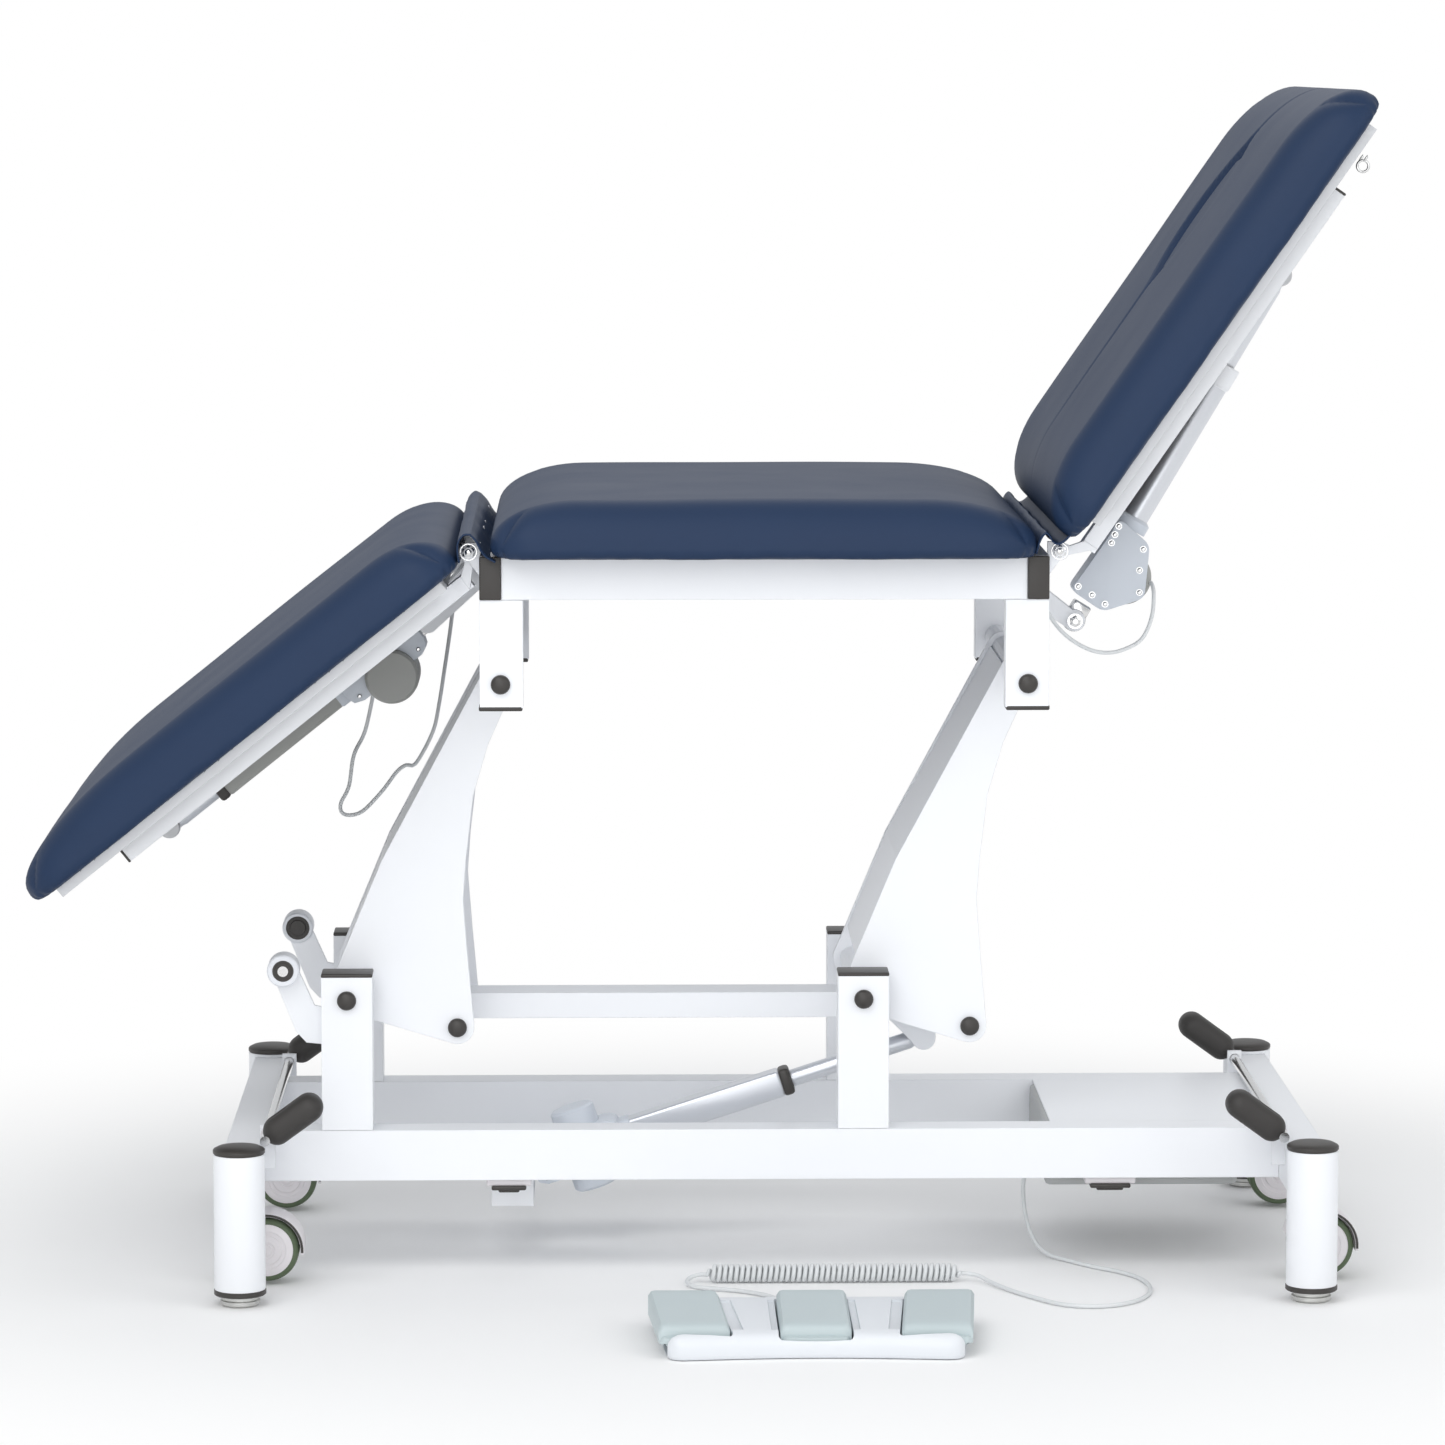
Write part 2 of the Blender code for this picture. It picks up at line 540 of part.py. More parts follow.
def coupling_bar(arm_axis):
    """The bar that turns both arms together, with a bush at each crank pivot and the lift actuator's clevis below."""
    axis = pivot("coupling_axis", (CRANK_X, 0, CRANK_Z), arm_axis)
    z0, z1 = -0.0055, 0.025
    tube = hollow("X", -0.030, 0.030, z0, z1, -0.020, LIFT_PITCH + 0.020, 0.0025)
    bar = piece("coupling_bar", tube, axis, "powder_coat", False)
    bush = ARM_OUT - ARM_T - GAP
    for x in (0.0, LIFT_PITCH):
        add(bar, rod("Y", x, 0, 0.014, -bush, bush, 16), rod("Y", x, 0, PIN_R, -ARM_OUT - 0.002, ARM_OUT + 0.002, 14))
        for way in (NEAR, FAR):
            add(bar, dome(x, 0, way * (ARM_OUT + GAP), way))
    px = LIFT_PIN_X - CRANK_WX
    cheek = [(px + 0.014, z0 + 0.001), (px - 0.048, z0 + 0.001), (px - 0.040, -0.012)]
    cheek += circle(px, -LIFT_PIN_DROP, 0.0145, 10, math.radians(200), math.radians(160))
    for way in (NEAR, FAR):
        add(bar, prism(cheek, *sorted((way * EYE_GAP, way * (EYE_GAP + EAR_T)))))
    return axis


# ---------------------------------------------------------------- actuators


def actuator(name, parent, place, aim, reach, body_end, travel_in, motor):
    """A linear actuator, modelled along +X from its lower pivot and then aimed. reach is from pin to pin at rest."""
    axis = pivot(f"{name}_axis", place, parent, aim)
    half = ACT_BODY / 2
    eye = EYE_GAP - GAP
    body = piece(f"{name}_actuator", box(0.024, 0.132, -0.028, 0.028, -0.023, 0.023, 0.006, 2), axis, "grey_plastic")
    add(body, rod("Y", 0, 0, EYE_R, -eye, eye, 20), box(0.0, 0.03, -eye + 0.001, eye - 0.001, -0.009, 0.009))
    if motor == "upright":
        drum = [(0, -0.051), (0.016, -0.047), (0.0275, -0.034), (0.0275, 0.034), (0.016, 0.047), (0, 0.051)]
        add(body, turned(drum, "Z", 0.083, 0, 24))
    else:
        drum_z = -0.024 if motor == "drum_below" else 0.024
        add(body, rod("Y", 0.075, drum_z, 0.033, -0.040, 0.040, 24))
    wide = half + 0.001
    add(body, box(0.126, body_end, -half, half, -half, half))
    add(body, box(body_end - 0.002, body_end + 0.013, -wide, wide, -wide, wide))
    rod_back = body_end - 0.020
    cut(body, rod("X", 0, 0, ROD_R + RUN, rod_back - travel_in - 0.008, body_end + 0.02, 24))
    cut(body, rod("Y", 0, 0, ACT_PIN_R + RUN, -0.03, 0.03, 20))
    slide = pivot(f"{name}_rod_axis", (0, 0, 0), axis)
    stick = piece(f"{name}_rod", rod("X", 0, 0, ROD_R, rod_back, reach - 0.006, 24), slide, "aluminium")
    add(stick, rod("Y", reach, 0, EYE_R - 0.001, -eye, eye, 20))
    return axis


def lift_actuator(root):
    dx = LIFT_PIN_X - LIFT_ACT_X
    dz = CRANK_WZ - LIFT_PIN_DROP - LIFT_ACT_Z
    reach = math.hypot(dx, dz)
    actuator("lift", root, (LIFT_ACT_X, 0, LIFT_ACT_Z), -math.atan2(dz, dx), reach, reach - 0.167, 0.146, "upright")


# ---------------------------------------------------------------- upper frame and seat
def end_frames(frame):
    """Each end of the upper frame: the end tube, two hanging posts with the top pivots, and the hinge ears."""
    ox, oz = TOP_X, TOP_Z       # the upper frame's own pivot, from which its pieces are modelled
    for end, way in ENDS.items():
        x_out = (FRAME_X0 if way < 0 else FRAME_X1) - ox
        x0, x1 = sorted((x_out, x_out - way * FRAME_T))
        z0, z1 = FRAME_Z - oz, FRAME_TOP - oz
        cross = hollow("Y", x0, x1, z0, z1, -FRAME_OUT, FRAME_OUT, 0.0025)
        tube = piece(f"end_frame_{end}", cross, frame, "powder_coat", False)
        px = 0.0 if way < 0 else LIFT_PITCH
        h0, h1 = sorted((x_out, x_out - way * HANG_W))
        for side in (NEAR, FAR):
            low, high = sorted((side * (FRAME_OUT - HANG_T), side * FRAME_OUT))
            post = hollow("Z", h0, h1, low, high, -HANG_BELOW, z0 - GAP, 0.0025)
            stub = box(x0 + 0.0015, x1 - 0.0015, low + 0.0015, high - 0.0015, z0 - 0.012, z0 + 0.0015)
            add(tube, post, stub)
            ear_low, ear_high = sorted((side * (SECTION_OUT + 0.002), side * (SECTION_OUT + 0.002 + EAR_T)))
            hx, hz = (FOOT_HX if way < 0 else BACK_HX) - ox, HINGE_Z - oz
            ear = circle(hx, hz, 0.011, 8, -math.pi / 2 if way > 0 else math.pi / 2, math.pi)
            wall = x_out - way * 0.0015
            ear += [(wall, hz + 0.011), (wall, hz - 0.030)] if way > 0 else [(wall, hz - 0.030), (wall, hz + 0.011)]
            add(tube, prism(ear, ear_low, ear_high))
            cut(tube, rod("Y", hx, hz, HINGE_PIN_R + RUN, ear_low - 0.004, ear_high + 0.004, 16))
            cut(tube, rod("Y", px, 0, PIN_R + RUN, low - 0.01, high + 0.01, 14))
        if way < 0:
            swing_ears(tube, x_out)
        else:
            back_clevis(tube, x_out)


def swing_ears(tube, x_out):
    hx, hz = FOOT_HX - TOP_X, HINGE_Z - TOP_Z
    for side in (NEAR, FAR):
        low, high = sorted((side * (SWING_OUT + GAP), side * (SWING_OUT + GAP + EAR_T)))
        foot_x = x_out + 0.0015
        ear = circle(hx, hz, 0.011, 8, math.pi / 2, math.pi) + [(foot_x, hz - 0.030), (foot_x, hz + 0.011)]
        add(tube, prism(ear, low, high))
        cut(tube, rod("Y", hx, hz, HINGE_PIN_R + RUN, low - 0.004, high + 0.004, 16))


def back_clevis(tube, x_out):
    """Cheeks down from the head-end tube to the back actuator's lower pin."""
    px, pz = BACK_HX + BACK_ACT_DX - TOP_X, HINGE_Z + BACK_ACT_DZ - TOP_Z
    z0 = FRAME_Z - TOP_Z
    cheek = [(x_out - 0.0015, z0 + 0.0015), (x_out - 0.0220, z0 + 0.0015), (x_out - 0.0200, z0 - 0.018)]
    cheek += circle(px, pz, 0.013, 10, math.radians(215), math.radians(245))
    for side in (NEAR, FAR):
        add(tube, prism(cheek, *sorted((side * EYE_GAP, side * (EYE_GAP + EAR_T)))))
    add(tube, rod("Y", px, pz, ACT_PIN_R, -EYE_GAP - 0.004, EYE_GAP + 0.004, 16))


def upper_rails(frame):
    x0, x1 = FRAME_X0 + FRAME_T + GAP - TOP_X, FRAME_X1 - FRAME_T - GAP - TOP_X
    for side, way in SIDES.items():
        low, high = sorted((way * (FRAME_OUT - FRAME_T), way * FRAME_OUT))
        shape = hollow("X", low, high, FRAME_Z - TOP_Z, FRAME_TOP - TOP_Z, x0, x1, 0.0025)
        piece(f"upper_rail_{side}", shape, frame, "powder_coat", False)


def oval(a, b, ra, rb, steps, start):
    """A quarter of an ellipse, from start on through 90 degrees."""
    turns = [start + math.pi / 2 * i / steps for i in range(steps + 1)]
    return [(a + ra * math.cos(t), b + rb * math.sin(t)) for t in turns]


def pad(x0, x1, z0, z1, low_end, high_end):
    """A pad, level. Each end is (length, drop) of its upper corner's round; the sides are rounded off a little."""
    bm = bmesh.new()
    rings = []
    for y, inset in ((0.0, 0.010), (0.003, 0.003), (0.010, 0.0)):
        small = 0.013 - inset
        a0, a1, b0, b1 = x0 + inset, x1 - inset, z0 + inset, z1 - inset
        (low_a, low_b), (high_a, high_b) = [(a - inset, b - inset) for a, b in (low_end, high_end)]
        outline = oval(a1 - small, b0 + small, small, small, 2, -math.pi / 2)
        outline += oval(a1 - high_a, b1 - high_b, high_a, high_b, 6, 0)
        outline += oval(a0 + low_a, b1 - low_b, low_a, low_b, 6, math.pi / 2)
        outline += oval(a0 + small, b0 + small, small, small, 2, math.pi)
        rings.append((PAD_W / 2 - y, outline))
    rows = [[bm.verts.new((a, -y, b)) for a, b in outline] for y, outline in rings]
    rows += [[bm.verts.new((a, y, b)) for a, b in outline] for y, outline in rings[::-1]]
    for one, two in zip(rows, rows[1:]):
        for i in range(len(one)):
            j = (i + 1) % len(one)
            bm.faces.new((one[i], one[j], two[j], two[i]))
    bm.faces.new(rows[0])
    bm.faces.new(rows[-1])
    return bm


def seat_pad(frame):
    x0, x1 = FOOT_HX + SEAT_SETBACK_FOOT - TOP_X, BACK_HX - SEAT_SETBACK_HEAD - TOP_X
    z0 = FRAME_TOP + GAP - TOP_Z
    piece("seat_cushion", pad(x0, x1, z0, z0 + PAD_T, (PAD_R, PAD_R), SEAT_TAPER), frame, "navy_vinyl")


# ---------------------------------------------------------------- back and foot sections
def section(name, axis, way, start, length, pin_along, pin_drop):
    """A hinged section, modelled level from its hinge: pad, board, and two tubes with their hinge bosses."""
    far_x, near_x = way * length, way * start
    x0, x1 = sorted((near_x, far_x))
    board_top = PAD_Z - GAP
    hinge_end = BACK_FOOT_R if way > 0 else PAD_R
    ends = [(r, r) for r in (hinge_end, PAD_R)][::way]
    piece(f"{name}_cushion", pad(x0, x1, PAD_Z, PAD_Z + PAD_T, *ends), axis, "navy_vinyl")
    b0, b1 = sorted((near_x + way * BOARD_INSET, far_x - way * BOARD_INSET))
    half_board = PAD_W / 2 - BOARD_INSET
    sheet = box(b0, b1, -half_board, half_board, board_top - BOARD_T, board_top)
    board = piece(f"{name}_board", sheet, axis, "plywood", False)
    tube_z1 = board_top - BOARD_T - GAP
    tube_z0 = tube_z1 - SECTION_TUBE + 0.006
    reach = length - 0.110
    for side, y_way in SIDES.items():
        low, high = sorted((y_way * (SECTION_OUT - SECTION_TUBE), y_way * SECTION_OUT))
        t0, t1 = sorted((way * 0.020, way * reach))
        bar = hollow("X", low, high, tube_z0, tube_z1, t0, t1, 0.002)
        tube = piece(f"{name}_tube_{side}", bar, axis, "powder_coat", False)
        boss = circle(0, 0, 0.010, 10, math.pi / 2, math.pi)
        boss += [(0.026, tube_z0 + 0.001), (0.026, tube_z1 - 0.001), (0.0115, -0.007), (0.0095, 0.004)]
        boss = [(way * a, b) for a, b in boss][::way]
        flat_low, flat_high = sorted((y_way * (SECTION_OUT - 0.006), y_way * (SECTION_OUT + 0.002 - GAP)))
        add(tube, prism(boss, flat_low, flat_high))
        pin_far = y_way * (SECTION_OUT + 0.002 + EAR_T + GAP + 0.002)
        add(tube, rod("Y", 0, 0, HINGE_PIN_R, *sorted((y_way * SECTION_OUT, pin_far)), 16))
        add(tube, dome(0, 0, y_way * (SECTION_OUT + 0.002 + EAR_T + GAP), y_way, 0.009, 0.006))
    lug_x = way * pin_along
    lug = [(lug_x - 0.016, board_top - BOARD_T + 0.001), (lug_x - 0.012, -pin_drop)]
    lug += circle(lug_x, -pin_drop, 0.012, 8, math.pi, math.pi) + [(lug_x + 0.016, board_top - BOARD_T + 0.001)]
    for side in (NEAR, FAR):
        add(board, prism(lug, *sorted((side * EYE_GAP, side * (EYE_GAP + EAR_T)))))


def back_section(frame):
    hinge = (BACK_HX - TOP_X, 0, HINGE_Z - TOP_Z)
    axis = pivot("back_hinge", hinge, frame, -BACK_ANGLE)
    section("back", axis, 1, BACK_START, BACK_LEN, BACK_PIN_ALONG, BACK_PIN_DROP)
    pin = Vector((math.cos(BACK_ANGLE), math.sin(BACK_ANGLE))) * BACK_PIN_ALONG
    pin += Vector((math.sin(BACK_ANGLE), -math.cos(BACK_ANGLE))) * BACK_PIN_DROP
    dx, dz = pin.x - BACK_ACT_DX, pin.y - BACK_ACT_DZ
    reach = math.hypot(dx, dz)
    place = (hinge[0] + BACK_ACT_DX, 0, hinge[2] + BACK_ACT_DZ)
    actuator("back", frame, place, -math.atan2(dz, dx), reach, reach - 0.137, 0.104, "drum_below")


def foot_section(frame):
    hinge = (FOOT_HX - TOP_X, 0, HINGE_Z - TOP_Z)
    swing = pivot("foot_swing_axis", hinge, frame)
    swing_plates(swing)
    axis = pivot("foot_hinge", (0, 0, 0), swing, -FOOT_ANGLE)
    section("foot", axis, -1, FOOT_START, FOOT_LEN, FOOT_PIN_ALONG, FOOT_PIN_DROP)
    pin = Vector((-math.cos(FOOT_ANGLE), -math.sin(FOOT_ANGLE))) * FOOT_PIN_ALONG
    pin += Vector((math.sin(FOOT_ANGLE), -math.cos(FOOT_ANGLE))) * FOOT_PIN_DROP
    dx, dz = pin.x - FOOT_ACT_DX, pin.y - FOOT_ACT_DZ
    reach = math.hypot(dx, dz)
    actuator("foot", swing, (FOOT_ACT_DX, 0, FOOT_ACT_DZ), -math.atan2(dz, dx), reach, reach - 0.070, 0.010, "drum_above")


def swing_plates(axis):
    """The bracket that carries the foot actuator, hung on the foot hinge."""
    px, pz = FOOT_ACT_DX, FOOT_ACT_DZ
    plate = circle(0, 0, 0.011, 8, 0, math.pi) + [(-0.011, -0.036)]
    plate += circle(px, pz, 0.013, 8, math.radians(115), math.radians(210)) + [(0.011, -0.062)]
    inner = EYE_GAP
    bm = prism(plate, -SWING_OUT, -SWING_OUT + 0.005)
    swing = piece("foot_swing_bracket", bm, axis, "powder_coat", False)
    add(swing, prism(plate, SWING_OUT - 0.005, SWING_OUT))
    pin_end = SWING_OUT + EAR_T + 0.004
    add(swing, rod("Y", 0, 0, HINGE_PIN_R, -pin_end, pin_end, 16))
    for side in (NEAR, FAR):
        low, high = sorted((side * inner, side * (SWING_OUT - 0.002)))
        add(swing, rod("Y", px, pz, 0.011, low, high, 16))
    add(swing, rod("Y", px, pz, ACT_PIN_R, -inner - 0.004, inner + 0.004, 16))


# ---------------------------------------------------------------- foot control and its cord
def foot_control(root):
    """A low housing with three treadles, each rocking on a pin at its back edge."""
    back, front = CTRL_Y_BACK, CTRL_Y_FRONT
    wb, wf = CTRL_W_BACK / 2, CTRL_W_FRONT / 2
    corner = 0.018
    plan = [
        (CTRL_X - wb, back - corner), (CTRL_X - wb + corner * 0.4, back - corner * 0.4), (CTRL_X - wb + corner, back),
        (CTRL_X + wb - corner, back), (CTRL_X + wb - corner * 0.4, back - corner * 0.4), (CTRL_X + wb, back - corner),
        (CTRL_X + wf + 0.004, front + corner), (CTRL_X + wf - corner * 0.3, front + corner * 0.3),
        (CTRL_X + wf - corner, front), (CTRL_X - wf + corner, front),
        (CTRL_X - wf + corner * 0.3, front + corner * 0.3), (CTRL_X - wf - 0.004, front + corner),
    ]
    body = prism(plan, 0.0, CTRL_H, "Z")
    rim = [e for e in body.edges if min(v.co.z for v in e.verts) > CTRL_H - 1e-6]
    bmesh.ops.bevel(body, geom=rim, offset=0.006, segments=2, affect="EDGES", profile=0.5)
    housing = piece("control_housing", body, root, "pale_plastic")
    well_back, well_front = back - 0.016, front + 0.012
    for i in (-1, 0, 1):
        x = CTRL_X + i * TREADLE_PITCH
        half = TREADLE_W / 2
        cut(housing, box(x - half - 0.003, x + half + 0.003, well_front, well_back, 0.010, CTRL_H + 0.02))
        pin_y, pin_z = well_back - 0.009, 0.021
        cut(housing, rod("X", pin_y, pin_z, 0.0025 + RUN, x - half - 0.008, x + half + 0.008, 12))
        axis = pivot(f"treadle_axis_{('left', 'middle', 'right')[i + 1]}", (x, pin_y, pin_z), root)
        length = (well_back - 0.003) - (well_front + 0.003)
        side = [(0.006, -0.006), (0.006, 0.014), (-0.004, 0.022), (-0.060, 0.020), (-0.150, 0.012),
                (0.006 - length, 0.006), (0.006 - length, -0.001), (-0.100, 0.002), (-0.008, -0.006)]
        treadle = piece(f"treadle_{('left', 'middle', 'right')[i + 1]}", prism(side, -half, half, "X"), axis, "pale_plastic")
        add(treadle, rod("X", 0, 0, 0.0025, -half - 0.006, half + 0.006, 12))
    add(housing, rod("Y", CORD_END[0], CORD_END[2], 0.006, back - 0.004, CORD_END[1], 16))


def smooth_route(points, spacing):
    """Points a spacing apart on one smooth curve through the route's own points."""
    spots = [Vector(p) for p in points]
    spots = [spots[0] * 2 - spots[1]] + spots + [spots[-1] * 2 - spots[-2]]
    fine = []
    for a, b, c, d in zip(spots, spots[1:], spots[2:], spots[3:]):
        for i in range(12):
            t = i / 12
            fine.append(0.5 * (2 * b + (c - a) * t + (2 * a - 5 * b + 4 * c - d) * t * t + (3 * b - a - 3 * c + d) * t**3))
    fine.append(spots[-2])
    total = sum((q - p).length for p, q in zip(fine, fine[1:]))
    count = max(2, round(total / spacing))
    route, walked, step = [fine[0]], 0.0, total / count
    for p, q in zip(fine, fine[1:]):
        run = (q - p).length
        while len(route) < count and walked + run >= step * len(route):
            route.append(p.lerp(q, (step * len(route) - walked) / run))
        walked += run
    return route + [fine[-1]]


def cord_tube(name, points, root):
    curve = bpy.data.curves.new(name, "CURVE")
    curve.dimensions = "3D"
    curve.bevel_depth = CORD_R
    curve.bevel_resolution = 2
    curve.use_fill_caps = True
    route = [Vector(points[0]), *smooth_route(points[1:-1], 0.0145), Vector(points[-1])]
    spline = curve.splines.new("POLY")
    spline.points.add(len(route) - 1)
    for point, spot in zip(spline.points, route):
        point.co = (*spot, 1.0)
    curve.materials.append(bpy.data.materials["cord_grey"])
    obj = bpy.data.objects.new(name, curve)
    obj.parent = root
    bpy.context.collection.objects.link(obj)


def cord(root):
    cord_tube("cord_from_box", CORD_OUT, root)
    cord_tube("cord_to_control", CORD_BACK, root)
    piece("cord_curl", rod("X", CURL_Y, CURL_R + 0.0003, CURL_R, CURL_X0, CURL_X1, 16), root, "cord_grey")


# ---------------------------------------------------------------- origin
def solid_corners():
    """Lowest and highest corner of the couch without its foot control's cord."""
    bpy.context.view_layer.update()
    graph = bpy.context.evaluated_depsgraph_get()
    spots = []
    for obj in bpy.context.scene.objects:
        if obj.type == "MESH" and not obj.hide_render and not obj.name.startswith("cord_"):
            done = obj.evaluated_get(graph)
            spots += [done.matrix_world @ vert.co for vert in done.data.vertices]
    return [[pick(s[i] for s in spots) for i in range(3)] for pick in (min, max)]


def centre_on_origin(root):
    """Stands the couch on Z = 0 with the middle of its box over the origin."""
    low, high = solid_corners()
    root.location = (-(low[0] + high[0]) / 2, -(low[1] + high[1]) / 2, -low[2])
    bpy.context.view_layer.update()


def main():
    clear_scene()
    make_materials()
    root = pivot("couch")
    base_rails(root)
    cross_members(root)
    legs(root)
    base_posts(root)
    rollers(root)
    cover_tray(root)
    control_box(root)
    lift_bracket(root)
    castor_gear(root)
    arms = lift_arms(root)
    coupling_bar(arms["foot"])
    lift_actuator(root)
    frame = pivot("upper_frame_axis", (ARM_X, 0, ARM_Z), arms["foot"])
    end_frames(frame)
    upper_rails(frame)
    seat_pad(frame)
    back_section(frame)
    foot_section(frame)
    foot_control(root)
    cord(root)
    centre_on_origin(root)


main()
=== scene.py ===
import json
import math

import bmesh
import bpy
from bpy.props import FloatProperty, FloatVectorProperty, IntProperty, PointerProperty
from bpy.types import Operator, Panel, PropertyGroup
from mathutils import Matrix, Vector


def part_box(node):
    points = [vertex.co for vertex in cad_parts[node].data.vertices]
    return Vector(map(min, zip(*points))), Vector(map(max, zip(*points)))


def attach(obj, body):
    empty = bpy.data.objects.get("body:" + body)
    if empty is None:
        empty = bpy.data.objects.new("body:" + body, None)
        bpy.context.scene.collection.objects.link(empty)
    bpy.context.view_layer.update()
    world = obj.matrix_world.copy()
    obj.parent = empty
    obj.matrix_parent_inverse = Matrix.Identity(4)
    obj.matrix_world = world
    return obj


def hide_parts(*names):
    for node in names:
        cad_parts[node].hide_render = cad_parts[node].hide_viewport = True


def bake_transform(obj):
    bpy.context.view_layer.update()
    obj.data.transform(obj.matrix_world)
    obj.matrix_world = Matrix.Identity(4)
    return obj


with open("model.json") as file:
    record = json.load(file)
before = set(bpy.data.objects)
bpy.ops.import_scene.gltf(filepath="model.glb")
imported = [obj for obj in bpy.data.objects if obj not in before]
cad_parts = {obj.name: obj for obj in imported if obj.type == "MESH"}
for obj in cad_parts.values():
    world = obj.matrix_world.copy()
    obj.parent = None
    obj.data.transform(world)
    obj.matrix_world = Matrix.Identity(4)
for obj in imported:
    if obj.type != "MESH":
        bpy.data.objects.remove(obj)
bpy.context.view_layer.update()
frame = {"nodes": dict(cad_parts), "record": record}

bl_info = {
    "name": "Examination couch looks",
    "version": (1, 0, 0),
    "blender": (4, 5, 0),
    "location": "View3D > Sidebar > Couch",
    "description": "Builds an examination couch's padding, caps, wheels, actuators and cord round its frame",
    "category": "Object",
}

# ---------------------------------------------------------------- places, all from the frame
RECORD = frame["record"]
JOINTS = {joint["name"]: joint for joint in RECORD["behaviour"]["joints"]}
SIDES = {"near": -1, "far": 1}
ENDS = {"foot": -1, "head": 1}


def low(node):
    return Vector(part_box(node)[0])


def high(node):
    return Vector(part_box(node)[1])


def middle(node):
    return (low(node) + high(node)) / 2


def joint_at(name):
    return Vector(JOINTS[name]["pos_m"])


MID_Y = (middle("leg_near_foot").y + middle("leg_far_foot").y) / 2
MID_X = (middle("leg_near_foot").x + middle("leg_near_head").x) / 2
BACK_ANGLE = math.radians(55.3)
FOOT_ANGLE = math.radians(38.6)
BACK_HINGE = joint_at("back_hinge")
FOOT_HINGE = joint_at("foot_hinge")
# Base and top pivot of each arm, along the couch.
ARM_PIVOTS = {"foot": (-0.501, -0.317), "head": (0.107, 0.291)}
BASE_PIVOT_Z, TOP_PIVOT_Z = 0.328, 0.712
CRANK_REACH, CRANK_Z = 0.1285, 0.286
# The upper frame's outer face, a hanging post's width, and the frame's underside and top.
FRAME_OUT, POST_ACROSS = 0.290, 0.030
FRAME_LOW, FRAME_HIGH = 0.8096, 0.8596
END_TUBES = {"foot": -0.3285, "head": 0.3025}
# A section's padding, from its hinge: underside and top, then start and end.
PAD_LOW, PAD_HIGH = -0.0041, 0.0659
BACK_SPAN, FOOT_SPAN = (0.020, 0.630), (0.014, 0.640)
# Half the width of a gear case, and of the case with its side plate.
CASE_HALF, PLATE_HALF = 0.0275, 0.0290


def place(x, y, z):
    """A point from the middle of the couch at floor level."""
    return Vector((MID_X + x, MID_Y + y, z))


def level(point):
    """A frame with its origin at the point and its axes along the row's."""
    return Matrix.Translation(point)


def tilted(point, angle, way=1):
    """A frame at the point: X leads away along a section that rises by angle, Z stands square to its face."""
    turn = Matrix.Rotation(-angle, 4, "Y") @ Matrix.Diagonal((way, 1, 1, 1))
    return Matrix.Translation(point) @ turn


BACK_FRAME = tilted(Vector((BACK_HINGE.x, MID_Y, BACK_HINGE.z)), BACK_ANGLE)
FOOT_FRAME = tilted(Vector((FOOT_HINGE.x, MID_Y, FOOT_HINGE.z)), FOOT_ANGLE, -1)
SEAT_FRAME = level(Vector((0, MID_Y, BACK_HINGE.z)))


def actuator_frame(name):
    """A frame at an actuator's lower pivot: X runs along its rod."""
    aim = Vector(JOINTS[f"{name}_rod_slide"]["axis"])
    angle = math.atan2(aim.z, aim.x)
    return Matrix.Translation(joint_at(f"{name}_actuator_hinge")) @ Matrix.Rotation(-angle, 4, "Y")


# ---------------------------------------------------------------- sizes and colours
def size(name, default, description, low_limit=0.0001, high_limit=1.0):
    return FloatProperty(name=name, description=description, default=default, min=low_limit, max=high_limit,
                         unit="LENGTH", precision=4)


def colour(name, default, description):
    return FloatVectorProperty(name=name, description=description, default=default, size=3, min=0, max=1,
                               subtype="COLOR")


class PaddingSettings(PropertyGroup):
    vinyl: colour("Vinyl", (0.0150, 0.0330, 0.0790), "Colour of the upholstery")
    crown: size("Crown", 0.004, "Rise of a pad's middle over its edge")
    side_round: size("Side round", 0.046, "Round along a pad's long sides")
    under_tuck: size("Under tuck", 0.012, "How far the lower edge pulls in")
    grid: size("Grid", 0.006, "Spacing of a pad's faces")
    slot_half: size("Slot half width", 0.058, "Half the width of the breathing slot's insert")
    slot_start: size("Slot start", 0.318, "Lower tip of the breathing slot from the hinge")
    slot_end: size("Slot end", 0.520, "Upper tip of the breathing slot from the hinge")


class MetalSettings(PropertyGroup):
    coat: colour("Powder coat", (0.86, 0.875, 0.905), "Colour of the painted steel")
    edge: size("Edge round", 0.0015, "Shaded round on folded and sawn edges")
    caps: colour("Caps", (0.040, 0.036, 0.033), "Colour of the black plastic caps")


class ControlSettings(PropertyGroup):
    housing: colour("Housing", (0.74, 0.765, 0.80), "Colour of the foot control's housing")
    treadle: colour("Treadles", (0.50, 0.575, 0.59), "Colour of the foot control's pads")
    cord: colour("Cord", (0.70, 0.72, 0.73), "Colour of the control's cord")
    cord_across: size("Cord diameter", 0.005, "Diameter of the control's cord")
    turns: IntProperty(name="Turns", description="Turns in the curly part", default=45, min=4, max=80)


class StageSettings(PropertyGroup):
    lens: FloatProperty(name="Lens", description="Focal length in millimetres", default=147.0, min=20,
                        max=300)
    floor: colour("Floor", (0.93, 0.93, 0.93), "Colour of the floor")


SETTINGS = {
    "couch_padding": PaddingSettings,
    "couch_metal": MetalSettings,
    "couch_control": ControlSettings,
    "couch_stage": StageSettings,
}


def settings(name):
    return getattr(bpy.context.scene, f"couch_{name}")


